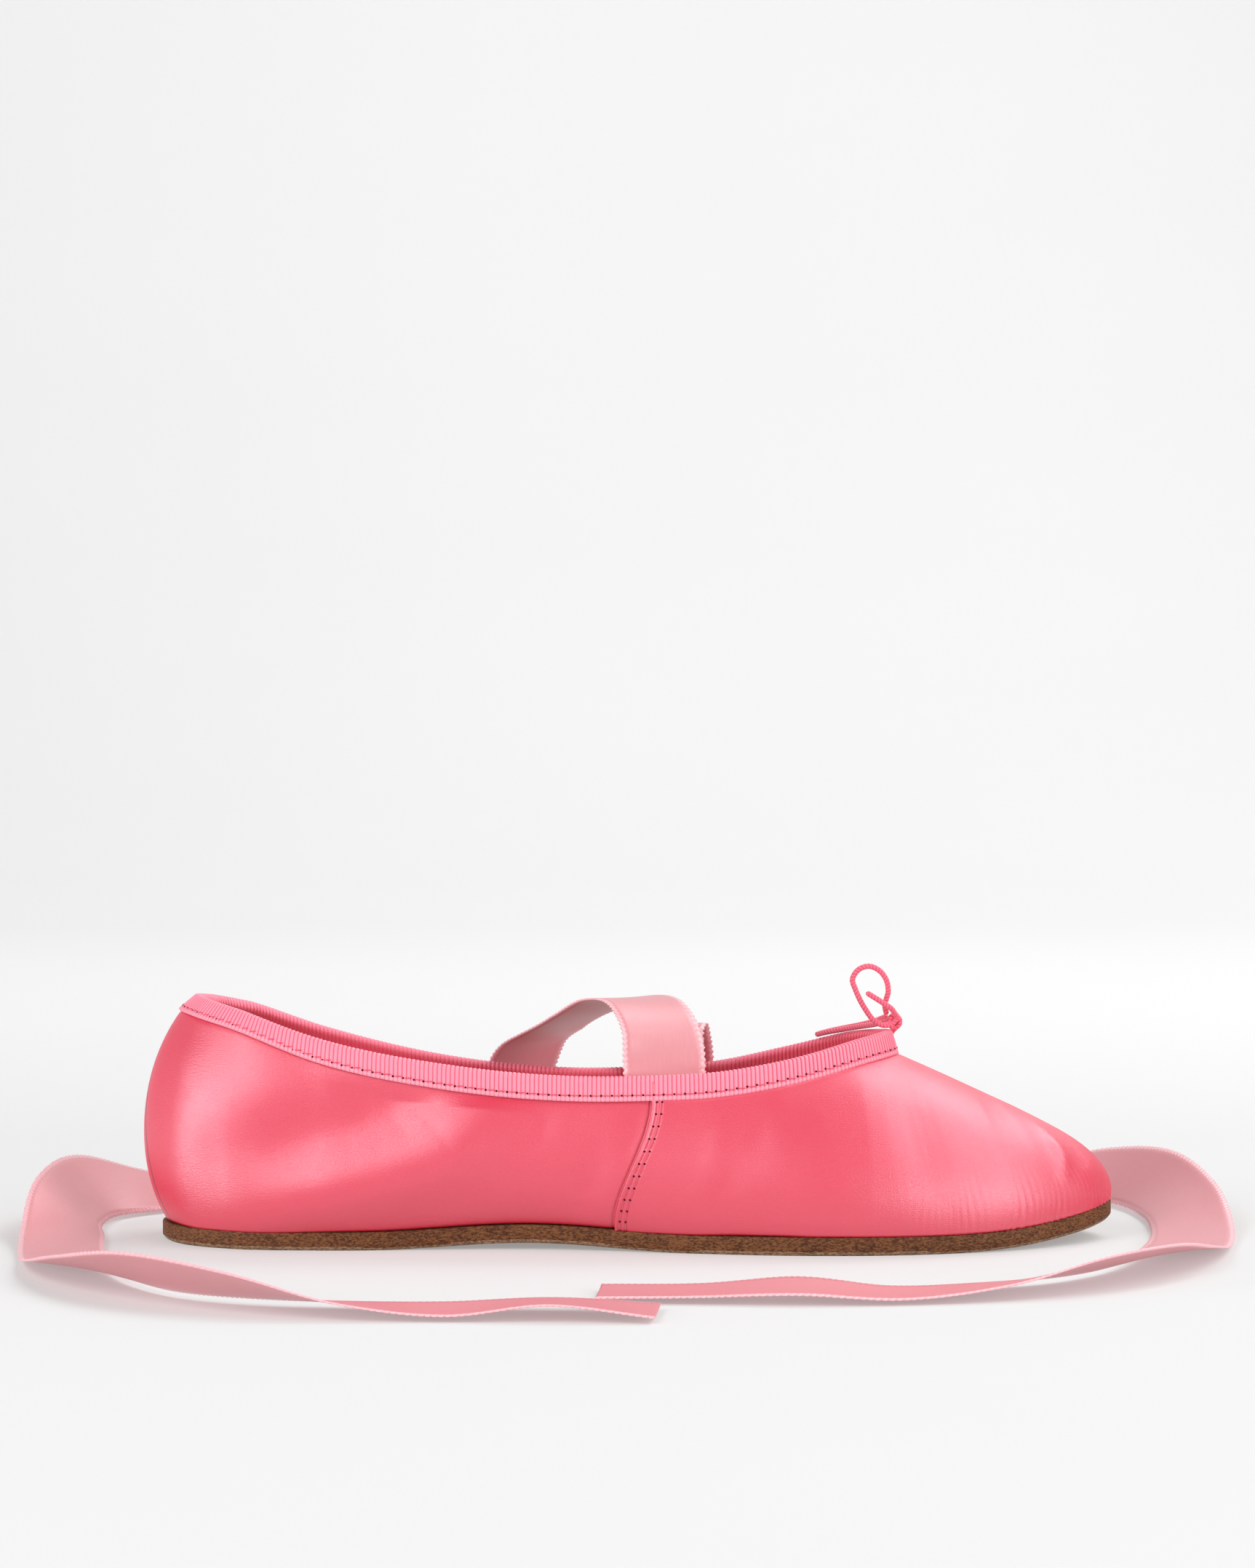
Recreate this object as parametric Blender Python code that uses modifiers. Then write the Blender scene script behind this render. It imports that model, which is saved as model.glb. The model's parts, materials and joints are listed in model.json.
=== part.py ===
# Ballet flat, right shoe, with two ankle ribbons and a drawstring bow.
#
# Metres, +Z up, toe towards +X, lateral side towards -Y. The origin is on the floor under the middle of
# the shoe. The shell follows one rule everywhere: a line round the edge of the sole, a line round the
# collar and over the vamp's ridge, and a curved wall between the two, read from the same row number.

import bmesh
import bpy
import numpy as np
from math import cos, pi, radians, sin
from mathutils import Vector

# Driving sizes
SOLE_LENGTH = 0.2515
BALL_WIDTH = 0.078
HEEL_HEIGHT = 0.0595
INSTEP_HEIGHT = 0.048
SOLE_THICKNESS = 0.0048
TOE_SPRING = 0.0052
ARCH_RISE = 0.0018
SOLE_BEVEL = 0.0011
SOLE_MARGIN = 0.0010
UPPER_WALL = 0.0013
VAMP_LAP = 0.0008
COLLAR_STAND = 0.006
TAPE_THICKNESS = 0.0007
INSOLE_THICKNESS = 0.002
INSOLE_CLEARANCE = 0.0004
RIBBON_WIDTH = 0.022
RIBBON_THICKNESS = 0.0006
BOW_CORD = 0.0015
BOW_KNOT = 0.0046
KNOT_SEAT = 0.65
GAP = 0.0003

# Where the origin lies, and how far along the sole its flats and curves run, as shares of its length
ORIGIN_PLACE = 0.49
ARCH_START = 0.22
ARCH_END = 0.56
SPRING_START = 0.80
SPRING_POWER = 2.3

HALF_BALL = BALL_WIDTH / 2

# Sole outline from heel to toe: place along the sole as a share of its length, then the reach of the
# lateral and of the medial edge as shares of half the ball width
SOLE_ROWS = [
    # place, lateral, medial
    (0.000, 0.000, 0.000),  # heel end
    (0.022, 0.400, 0.380),  # heel corner
    (0.076, 0.645, 0.615),  # heel side
    (0.170, 0.735, 0.690),  # heel front
    (0.290, 0.700, 0.600),  # waist, rear
    (0.398, 0.705, 0.545),  # waist
    (0.476, 0.775, 0.590),  # side seam
    (0.557, 0.880, 0.690),  # joint
    (0.656, 0.980, 0.870),  # ball
    (0.748, 0.978, 0.982),  # forepart
    (0.823, 0.886, 0.950),  # throat
    (0.887, 0.740, 0.830),  # vamp
    (0.940, 0.520, 0.630),  # toe side
    (0.981, 0.270, 0.350),  # toe corner
    (1.000, 0.000, 0.000),  # toe end
]

# Wall between sole and collar, for the same rows: how far its belly swells out past the sole and how far
# it pulls forwards and sideways under the collar, as shares of half the ball width, then how high the
# belly lies and how far the neck falls, as shares of the wall's own height
WALL_ROWS = [
    # belly out, belly rise, neck forward, neck side, neck fall
    (0.225, 0.26, -0.300, 0.000, 0.30),
    (0.210, 0.26, -0.200, 0.150, 0.31),
    (0.200, 0.27, -0.050, 0.210, 0.32),
    (0.200, 0.28, 0.000, 0.180, 0.33),
    (0.210, 0.28, 0.000, 0.150, 0.32),
    (0.210, 0.28, 0.000, 0.140, 0.31),
    (0.200, 0.29, 0.000, 0.140, 0.31),
    (0.190, 0.30, 0.000, 0.150, 0.30),
    (0.180, 0.32, 0.020, 0.210, 0.27),
    (0.165, 0.33, 0.090, 0.330, 0.17),
    (0.155, 0.34, 0.130, 0.490, 0.07),
    (0.140, 0.36, 0.160, 0.440, 0.08),
    (0.115, 0.38, 0.210, 0.330, 0.12),
    (0.085, 0.41, 0.260, 0.180, 0.18),
    (0.060, 0.42, 0.275, 0.000, 0.22),
]

# Lower edge of the collar tape from heel to throat: place along the sole as a share of its length, reach
# of each side as shares of half the ball width, height and the medial side's drop as shares of the heel
# height, and how far the stand above it leans into the shoe for each unit of height
COLLAR_ROWS = [
    # place, lateral, medial, height, medial drop, lean
    (0.018, 0.000, 0.000, 1.000, 0.000, 1.20),
    (0.037, 0.270, 0.265, 0.985, 0.000, 1.15),
    (0.080, 0.500, 0.480, 0.941, 0.005, 0.95),
    (0.170, 0.680, 0.650, 0.807, 0.024, 0.40),
    (0.298, 0.744, 0.705, 0.697, 0.050, 0.20),
    (0.425, 0.770, 0.710, 0.647, 0.055, 0.20),
    (0.514, 0.775, 0.705, 0.648, 0.050, 0.20),
    (0.580, 0.744, 0.690, 0.660, 0.040, 0.20),
    (0.660, 0.654, 0.630, 0.712, 0.020, 0.20),
    (0.732, 0.410, 0.405, 0.781, 0.006, 0.25),
]

# Throat and vamp ridge: place along the sole as a share of its length, height as a share of the instep's
RIDGE_ROWS = [
    # place, height
    (0.7725, 1.000),  # throat
    (0.8150, 0.900),  # vamp
    (0.8540, 0.806),  # toe side
    (0.8880, 0.724),  # toe corner
    (0.9140, 0.655),  # toe end
]

# Rows with a meaning of their own, and how finely the shell is cut: columns to a row, steps up the wall and
# the stand; the seam's width is in rows, the shoulder is the share of the stand where the lap runs out
SEAM_ROW = 6
THROAT_ROW = len(COLLAR_ROWS)
TOE_ROW = len(SOLE_ROWS) - 1
FULL_TURN = 2 * TOE_ROW
COLLAR_TURN = 2 * THROAT_ROW
COLUMNS_A_ROW = 3
WALL_STEPS = 9
STAND_STEPS = 2
SEAM_WIDTH = 0.03
SHOULDER = 0.05
THROAT_LEAN = 0.30
KNOT_SIDES = 12
KNOT_RINGS = 8

# Ankle ribbons, from the end sewn inside the quarter to the cut end: x, y, z in metres and the lean of
# the ribbon's width out of the level, in degrees
LATERAL_RIBBON = [
    (0.0097, -0.0276, 0.0270, 0),
    (0.0097, -0.0263, 0.0380, 0),
    (0.0096, -0.0247, 0.0460, 0),
    (0.0088, -0.0210, 0.0560, 0),
    (0.0050, -0.0120, 0.0625, 0),
    (-0.0030, 0.0020, 0.0630, 0),
    (-0.0125, 0.0150, 0.0575, 2),
    (-0.0205, 0.0245, 0.0522, 2),
    (-0.0258, 0.0320, 0.0480, 2),
    (-0.0295, 0.0385, 0.0395, 1),
    (-0.0320, 0.0425, 0.0260, 0),
    (-0.0340, 0.0460, 0.0125, 0),
    (-0.0380, 0.0520, 0.0042, 10),
    (-0.0480, 0.0640, 0.0088, 45),
    (-0.0650, 0.0720, 0.0095, 52),
    (-0.0870, 0.0720, 0.0045, 18),
    (-0.1100, 0.0660, 0.0018, 3),
    (-0.1310, 0.0540, 0.0055, 26),
    (-0.1450, 0.0350, 0.0090, 46),
    (-0.1495, 0.0110, 0.0078, 38),
    (-0.1480, -0.0150, 0.0032, 10),
    (-0.1450, -0.0420, 0.0014, 0),
    (-0.1400, -0.0690, 0.0026, 6),
    (-0.1300, -0.0940, 0.0050, 20),
    (-0.1140, -0.1150, 0.0070, 32),
    (-0.0920, -0.1290, 0.0060, 25),
    (-0.0680, -0.1350, 0.0028, 8),
    (-0.0430, -0.1365, 0.0014, 0),
    (-0.0180, -0.1370, 0.0032, 4),
    (0.0070, -0.1390, 0.0014, 0),
]
MEDIAL_RIBBON = [
    (0.0097, 0.0216, 0.0250, 0),
    (0.0097, 0.0221, 0.0350, 0),
    (0.0097, 0.0226, 0.0425, 0),
    (0.0098, 0.0236, 0.0480, 0),
    (0.0102, 0.0258, 0.0526, 0),
    (0.0112, 0.0295, 0.0540, 0),
    (0.0126, 0.0342, 0.0490, 0),
    (0.0142, 0.0382, 0.0380, 0),
    (0.0162, 0.0420, 0.0230, 0),
    (0.0190, 0.0472, 0.0105, 0),
    (0.0240, 0.0580, 0.0037, 0),
    (0.0330, 0.0740, 0.0034, -10),
    (0.0430, 0.0920, 0.0080, -40),
    (0.0620, 0.1060, 0.0085, -45),
    (0.0860, 0.1080, 0.0045, -18),
    (0.1090, 0.0980, 0.0034, -12),
    (0.1300, 0.0800, 0.0070, -34),
    (0.1440, 0.0560, 0.0085, -42),
    (0.1500, 0.0290, 0.0060, -26),
    (0.1500, 0.0010, 0.0024, -6),
    (0.1460, -0.0260, 0.0014, 0),
    (0.1390, -0.0510, 0.0032, -8),
    (0.1280, -0.0740, 0.0050, -20),
    (0.1110, -0.0930, 0.0050, -20),
    (0.0890, -0.1050, 0.0026, -7),
    (0.0650, -0.1110, 0.0014, 0),
    (0.0410, -0.1120, 0.0032, 3),
    (0.0170, -0.1100, 0.0018, 0),
    (-0.0070, -0.1085, 0.0014, 0),
]
RIBBON_STATIONS = 64

# Bow strands, from the knot outwards, in metres from the knot's middle
BOW_ROUTES = {
    "bow_loop_lateral": [
        (-0.0021, -0.0009, 0.0018), (-0.0026, -0.0018, 0.0045), (-0.0018, -0.0026, 0.0084),
        (-0.0024, -0.0032, 0.0114), (-0.0043, -0.0036, 0.0139), (-0.0070, -0.0038, 0.0150),
        (-0.0097, -0.0038, 0.0141), (-0.0113, -0.0036, 0.0114), (-0.0105, -0.0034, 0.0088),
        (-0.0079, -0.0030, 0.0036), (-0.0054, -0.0025, 0.0004), (-0.0030, -0.0019, -0.0008),
    ],
    "bow_loop_medial": [
        (-0.0023, 0.0016, -0.0002), (-0.0052, 0.0048, -0.0012), (-0.0090, 0.0092, -0.0022),
        (-0.0130, 0.0126, -0.0032), (-0.0172, 0.0152, -0.0042), (-0.0196, 0.0178, -0.0050),
        (-0.0168, 0.0196, -0.0044), (-0.0124, 0.0170, -0.0032), (-0.0082, 0.0134, -0.0020),
        (-0.0048, 0.0086, -0.0006), (-0.0018, 0.0030, 0.0012),
    ],
    "bow_end_lateral": [
        (0.0000, -0.0019, 0.0023), (-0.0010, -0.0034, 0.0037), (-0.0034, -0.0044, 0.0054),
        (-0.0078, -0.0048, 0.0082),
    ],
    "bow_end_medial": [
        (0.0014, 0.0026, -0.0006), (0.0012, 0.0056, -0.0016), (-0.0002, 0.0086, -0.0036),
        (-0.0012, 0.0110, -0.0072),
    ],
}

# Colours in linear light, roughness
SATIN_PINK = ((0.80, 0.115, 0.195), 0.42)
TAPE_PINK = ((0.85, 0.20, 0.33), 0.60)
RIBBON_PINK = ((0.86, 0.47, 0.53), 0.35)
SOLE_BROWN = ((0.19, 0.09, 0.05), 0.62)
SOCK_BEIGE = ((0.62, 0.47, 0.38), 0.70)


def track(keys, rows, at, steady=False):
    """Read a smooth curve through the rows at the given keys; a steady one never overshoots."""
    keys = np.asarray(keys, float)
    rows = np.asarray(rows, float).reshape(len(keys), -1)
    steps = np.diff(keys)[:, None]
    rises = np.diff(rows, axis=0) / steps
    slopes = np.vstack([rises[:1], rises[:-1], rises[-1:]])[:len(keys)]
    slopes[-1] = rises[-1]
    slopes[1:-1] = (rises[:-1] * steps[1:] + rises[1:] * steps[:-1]) / (steps[1:] + steps[:-1])
    if steady:
        product = rises[:-1] * rises[1:]
        total = np.where(product > 0, rises[:-1] + rises[1:], 1)
        slopes[1:-1] = np.where(product > 0, 2 * product / total, 0)
    cell = min(max(int(np.searchsorted(keys, at, side="right")) - 1, 0), len(steps) - 1)
    width = steps[cell, 0]
    t = (at - keys[cell]) / width
    start = (1 + 2 * t) * (1 - t) ** 2 * rows[cell] + t * (1 - t) ** 2 * width * slopes[cell]
    end = t * t * (3 - 2 * t) * rows[cell + 1] + t * t * (t - 1) * width * slopes[cell + 1]
    return start + end


class Loop:
    """A closed smooth line through the rows of a table, read by row number."""

    WRAP = 3

    def __init__(self, rows):
        numbers = np.arange(-self.WRAP, len(rows) + self.WRAP + 1)
        self.numbers = numbers
        self.rows = np.array(rows)[numbers % len(rows)]
        lengths = np.linalg.norm(np.diff(self.rows[:, :2], axis=0), axis=1)
        self.places = np.concatenate(([0.0], np.cumsum(lengths)))

    def read(self, number):
        place = track(self.numbers, self.places, number, steady=True)[0]
        return track(self.places, self.rows, place)

    def outward(self, number):
        """Level direction away from the inside of the loop."""
        step = 0.01
        ahead = self.read(number + step) - self.read(number - step)
        return Vector((ahead[1], -ahead[0], 0)).normalized()


def both_sides(rows, lateral_row, medial_row):
    """Rows round the whole shoe: heel, lateral side, toe, medial side."""
    there = [lateral_row(row) for row in rows]
    back = [medial_row(row) for row in rows[-2:0:-1]]
    return there + back


def along_sole(place):
    return (place - ORIGIN_PLACE) * SOLE_LENGTH


def sole_bottom(x):
    """Height of the sole's underside: flat under heel and ball, raised at the arch and at the toe."""
    place = x / SOLE_LENGTH + ORIGIN_PLACE
    if place > SPRING_START:
        return TOE_SPRING * ((place - SPRING_START) / (1 - SPRING_START)) ** SPRING_POWER
    if ARCH_START < place < ARCH_END:
        return ARCH_RISE * sin(pi * (place - ARCH_START) / (ARCH_END - ARCH_START)) ** 2
    return 0.0


def sole_top(x):
    return sole_bottom(x) + SOLE_THICKNESS


def sole_loop():
    rows = [sole + wall for sole, wall in zip(SOLE_ROWS, WALL_ROWS)]

    def row_on(side, reach, row):
        belly_out, belly_rise, forward, sideways, fall = row[3:]
        across = side * HALF_BALL
        return (along_sole(row[0]), across * row[reach], HALF_BALL * belly_out, belly_rise,
                HALF_BALL * forward, across * sideways, fall)

    return Loop(both_sides(rows, lambda row: row_on(-1, 1, row), lambda row: row_on(1, 2, row)))


def collar_loop():
    place, height = RIDGE_ROWS[0]
    throat = (place, 0.0, 0.0, height * INSTEP_HEIGHT / HEEL_HEIGHT, 0.0, THROAT_LEAN)
    rows = COLLAR_ROWS + [throat]

    def row_on(side, reach, row, drop):
        return (along_sole(row[0]), side * HALF_BALL * row[reach], HEEL_HEIGHT * (row[3] - drop), row[5])

    def lateral(row):
        return row_on(-1, 1, row, 0.0)

    def medial(row):
        return row_on(1, 2, row, row[4])

    return Loop(both_sides(rows, lateral, medial))


SOLE_LINE = sole_loop()
COLLAR_LINE = collar_loop()


def outline(number, inset):
    """Point of the sole's edge, moved in by the inset."""
    x, y = SOLE_LINE.read(number)[:2]
    return Vector((x, y, 0)) - SOLE_LINE.outward(number) * inset


def heel_to_toe(number):
    """Row number counted from the heel on either side."""
    return min(number, FULL_TURN - number)


def collar_number(number):
    """Row number on the collar's loop that meets this row number on the sole's."""
    return number if number <= TOE_ROW else number - FULL_TURN + COLLAR_TURN


def ridge(number):
    row = heel_to_toe(number) - THROAT_ROW
    place, height = track(range(len(RIDGE_ROWS)), RIDGE_ROWS, row)
    return Vector((along_sole(place), 0, height * INSTEP_HEIGHT))


def on_collar(number):
    return heel_to_toe(number) <= THROAT_ROW


def crown(number):
    """Top of the wall: the collar's lower line at the quarters, the ridge over the vamp."""
    if on_collar(number):
        return Vector(COLLAR_LINE.read(collar_number(number))[:3])
    return ridge(number)


def foot_point(number, margin):
    """Foot of the wall, the gap above the sole's top and the margin inside its edge."""
    foot = outline(number, margin)
    foot.z = sole_top(foot.x) + GAP
    return foot


def wall_point(number, share):
    """Point of the upper's outer side, from the sole at share 0 to the collar or ridge at share 1."""
    out, rise, forward, sideways, fall = SOLE_LINE.read(number)[2:]
    foot = foot_point(number, SOLE_MARGIN)
    top = crown(number)
    height = top.z - foot.z
    belly = foot + SOLE_LINE.outward(number) * out + Vector((0, 0, rise * height))
    neck = top + Vector((forward, sideways, -fall * height))
    rest = 1 - share
    return (foot * rest ** 3 + belly * (3 * rest * rest * share)
            + neck * (3 * rest * share * share) + top * share ** 3)


def wall_normal(number, share):
    """Outward direction of the wall; on the ridge it has no sideways part, so both halves meet."""
    step = 0.01
    if share == 1 and heel_to_toe(number) >= THROAT_ROW:
        row = max(heel_to_toe(number), THROAT_ROW + step)
        run = ridge(row) - ridge(row - step)
        return Vector((-run.z, 0, run.x)).normalized()
    low = max(share - step, 0)
    high = min(share + step, 1)
    ahead = wall_point(number + step, share) - wall_point(number - step, share)
    up = wall_point(number, high) - wall_point(number, low)
    return ahead.cross(up).normalized()


def stand_frame(number):
    """Foot, upward direction and outward direction of the collar's stand."""
    at = collar_number(number)
    x, y, z, lean = COLLAR_LINE.read(at)
    out = COLLAR_LINE.outward(at)
    up = (Vector((0, 0, 1)) - out * lean).normalized()
    ahead = out.cross(up).normalized()
    return Vector((x, y, z)), up, up.cross(ahead)


def spread_rows(first, last):
    """Row numbers with even steps between the table's rows."""
    count = int(round((last - first) * COLUMNS_A_ROW))
    return [first + (last - first) * step / count for step in range(count + 1)]


def new_mesh_object(name, points, faces):
    """Make one mesh object, joining the points that meet at the heel, toe and ridge."""
    mesh = bpy.data.meshes.new(name)
    made = bmesh.new()
    corners = [made.verts.new(point) for point in points]
    for face in faces:
        made.faces.new([corners[index] for index in face])
    bmesh.ops.remove_doubles(made, verts=made.verts, dist=1e-6)
    bmesh.ops.recalc_face_normals(made, faces=made.faces)
    made.to_mesh(mesh)
    made.free()
    thing = bpy.data.objects.new(name, mesh)
    SHOE.objects.link(thing)
    return thing


def loft(rings, closed=False):
    """Skin a run of closed sections with the same number of points each."""
    size = len(rings[0])
    points = [point for ring in rings for point in ring]
    faces = []
    spans = len(rings) if closed else len(rings) - 1
    for ring in range(spans):
        here = ring * size
        there = (ring + 1) % len(rings) * size
        for side in range(size):
            beside = (side + 1) % size
            faces.append((here + side, here + beside, there + beside, there + side))
    return points, faces


def finish(thing, look, smooth=True):
    """Give the piece its own material."""
    colour, roughness = look
    material = bpy.data.materials.new(thing.name)
    material.use_nodes = True
    shader = material.node_tree.nodes["Principled BSDF"]
    shader.inputs["Base Color"].default_value = (*colour, 1)
    shader.inputs["Roughness"].default_value = roughness
    shader.inputs["Metallic"].default_value = 0
    thing.data.materials.append(material)
    if smooth:
        thing.data.shade_smooth()
    return thing


def flat_layer(name, section):
    """Loft one section a row from heel to toe; the section holds pairs of an inset and a height rule."""
    rings = []
    for number in spread_rows(0, TOE_ROW):
        ring = []
        for side_number, order in ((number, 1), (FULL_TURN - number, -1)):
            for inset, height in section[::order]:
                point = outline(side_number, inset)
                point.z = height(point.x)
                ring.append(point)
        rings.append(ring)
    points, faces = loft(rings)
    return new_mesh_object(name, points, faces)


def build_outsole():
    """Leather sole: upright edge with a pared lower corner, as long strips from side to side."""
    section = [
        (0, sole_top),
        (0, lambda x: sole_bottom(x) + SOLE_BEVEL),
        (SOLE_BEVEL, sole_bottom),
    ]
    return finish(flat_layer("outsole", section), SOLE_BROWN, smooth=False)


def build_insole():
    """Sock on the sole, just inside the wall's inner side."""
    inset = SOLE_MARGIN + UPPER_WALL + INSOLE_CLEARANCE
    soften = INSOLE_THICKNESS / 3
    top = GAP + INSOLE_THICKNESS
    section = [
        (inset + soften, lambda x: sole_top(x) + top),
        (inset, lambda x: sole_top(x) + top - soften),
        (inset, lambda x: sole_top(x) + GAP),
    ]
    return finish(flat_layer("insole", section), SOCK_BEIGE, smooth=False)


def lapped_point(number, step):
    """Wall point of the vamp, which stands proud of the quarter by the lap."""
    if step == 0:
        return foot_point(number, SOLE_MARGIN - VAMP_LAP)
    share = step / WALL_STEPS
    out = wall_normal(number, share)
    if step == WALL_STEPS and on_collar(number):
        out = stand_frame(number)[2]
    return wall_point(number, share) + out * VAMP_LAP


def upper_column(number, lapped):
    """Outer points of the upper from the sole up to its top edge or ridge."""
    column = []
    for step in range(WALL_STEPS + 1):
        column.append(lapped_point(number, step) if lapped else wall_point(number, step / WALL_STEPS))
    if on_collar(number):
        foot, up, _ = stand_frame(number)
        for step in range(STAND_STEPS + 1):
            share = SHOULDER + (1 - SHOULDER) * step / STAND_STEPS
            column.append(foot + up * (COLLAR_STAND * share))
    return column


def build_upper():
    """Satin upper: one open sheet from sole to collar and ridge, thickened inwards."""
    lateral_seam = SEAM_ROW
    medial_seam = FULL_TURN - SEAM_ROW
    numbers = []
    for number in spread_rows(0, FULL_TURN)[:-1]:
        if number == medial_seam:
            numbers.append((number - SEAM_WIDTH, True))
        numbers.append((number, lateral_seam < number < medial_seam))
        if number == lateral_seam:
            numbers.append((number + SEAM_WIDTH, True))
    columns = [upper_column(number, lapped) for number, lapped in numbers]
    points = []
    starts = []
    for column in columns:
        starts.append(len(points))
        points.extend(column)
    faces = []
    for index, column in enumerate(columns):
        beside = (index + 1) % len(columns)
        rows = min(len(column), len(columns[beside]))
        here = starts[index]
        there = starts[beside]
        for row in range(rows - 1):
            faces.append((here + row, there + row, there + row + 1, here + row + 1))
    upper = new_mesh_object("upper", points, faces)
    wall = upper.modifiers.new("wall", 'SOLIDIFY')
    wall.thickness = UPPER_WALL
    wall.offset = -1
    wall.use_even_offset = True
    return finish(upper, SATIN_PINK)


def build_collar_binding():
    """Tape folded over the top edge of the upper, a U in section, all round the opening."""
    inner = -(UPPER_WALL + GAP)
    top = COLLAR_STAND + GAP
    fold = TAPE_THICKNESS
    hem = GAP * 2
    profile = [
        (GAP, hem), (GAP + fold, hem), (GAP + fold, top), (GAP, top + fold),
        (inner, top + fold), (inner - fold, top), (inner - fold, hem), (inner, hem),
        (inner, top), (GAP, top),
    ]
    rings = []
    there = spread_rows(0, THROAT_ROW)
    back = [FULL_TURN - number for number in there[-2:0:-1]]
    for number in there + back:
        foot, up, out = stand_frame(number)
        rings.append([foot + out * aside + up * above for aside, above in profile])
    points, faces = loft(rings, closed=True)
    return finish(new_mesh_object("collar_binding", points, faces), TAPE_PINK)


def route_points(route, count):
    """Evenly counted points of the smooth curve through a route."""
    rows = np.array(route)
    lengths = np.linalg.norm(np.diff(rows[:, :3], axis=0), axis=1)
    places = np.concatenate(([0.0], np.cumsum(lengths)))
    return [track(places, rows, places[-1] * step / (count - 1)) for step in range(count)]


def build_ribbon(name, route):
    """Flat ribbon: a thin rectangle carried along the route, its width level or leaning."""
    rows = route_points(route, RIBBON_STATIONS)
    spots = [Vector(row[:3]) for row in rows]
    rings = []
    for index, (spot, row) in enumerate(zip(spots, rows)):
        ahead = (spots[min(index + 1, len(spots) - 1)] - spots[max(index - 1, 0)]).normalized()
        level = Vector((ahead.y, -ahead.x, 0)).normalized()
        over = level.cross(ahead).normalized()
        lean = radians(row[3])
        across = level * cos(lean) + over * sin(lean)
        face = across.cross(ahead).normalized()
        half = across * (RIBBON_WIDTH / 2)
        thin = face * (RIBBON_THICKNESS / 2)
        rings.append([spot - half - thin, spot + half - thin, spot + half + thin, spot - half + thin])
    points, faces = loft(rings)
    last = len(points) - 4
    faces += [(0, 1, 2, 3), (last, last + 1, last + 2, last + 3)]
    return finish(new_mesh_object(name, points, faces), RIBBON_PINK, smooth=False)


def knot_middle():
    """The knot sits on top of the tape at the throat, a little forward."""
    foot, up, out = stand_frame(THROAT_ROW)
    radius = BOW_KNOT / 2
    return foot + up * (COLLAR_STAND + TAPE_THICKNESS + GAP * 2 + radius * KNOT_SEAT) + out * radius


def build_bow_knot():
    """Small tight knot of the drawstring."""
    mesh = bpy.data.meshes.new("bow_knot")
    made = bmesh.new()
    bmesh.ops.create_uvsphere(made, u_segments=KNOT_SIDES, v_segments=KNOT_RINGS, radius=BOW_KNOT / 2)
    made.to_mesh(mesh)
    made.free()
    knot = bpy.data.objects.new("bow_knot", mesh)
    knot.location = knot_middle()
    SHOE.objects.link(knot)
    return finish(knot, TAPE_PINK)


def build_strand(name, route):
    """Round cord of the bow, a filled tube along its smooth route."""
    middle = knot_middle()
    count = max(6, 2 * len(route) + 1)
    curve = bpy.data.curves.new(name, 'CURVE')
    curve.dimensions = '3D'
    curve.bevel_depth = BOW_CORD / 2
    curve.bevel_resolution = 2
    curve.use_fill_caps = True
    line = curve.splines.new('POLY')
    line.points.add(count - 1)
    for point, row in zip(line.points, route_points(route, count)):
        point.co = (*(middle + Vector(row)), 1)
    strand = bpy.data.objects.new(name, curve)
    SHOE.objects.link(strand)
    return finish(strand, TAPE_PINK, smooth=False)


for old in list(bpy.data.objects):
    bpy.data.objects.remove(old, do_unlink=True)

SHOE = bpy.data.collections.new("Ballet flat")
bpy.context.scene.collection.children.link(SHOE)

build_outsole()
build_insole()
build_upper()
build_collar_binding()
build_ribbon("ribbon_lateral", LATERAL_RIBBON)
build_ribbon("ribbon_medial", MEDIAL_RIBBON)
build_bow_knot()
for strand_name, strand_route in BOW_ROUTES.items():
    build_strand(strand_name, strand_route)
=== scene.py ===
# %% [markdown]
# # A pink satin ballet flat
# The solids of the shoe come in as a fixed frame. This lesson lays the finished shoe over them: satin with
# its soft creases, ribbed tape, a thin cord bow, a leather sole and two ribbons that lie where they fell.
# Lengths are metres where a table doesn't say millimetres. The toe points to +X, the lateral side to -Y.

# %% Load the frame
import json
from math import atan2, cos, pi, radians, sin

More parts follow.
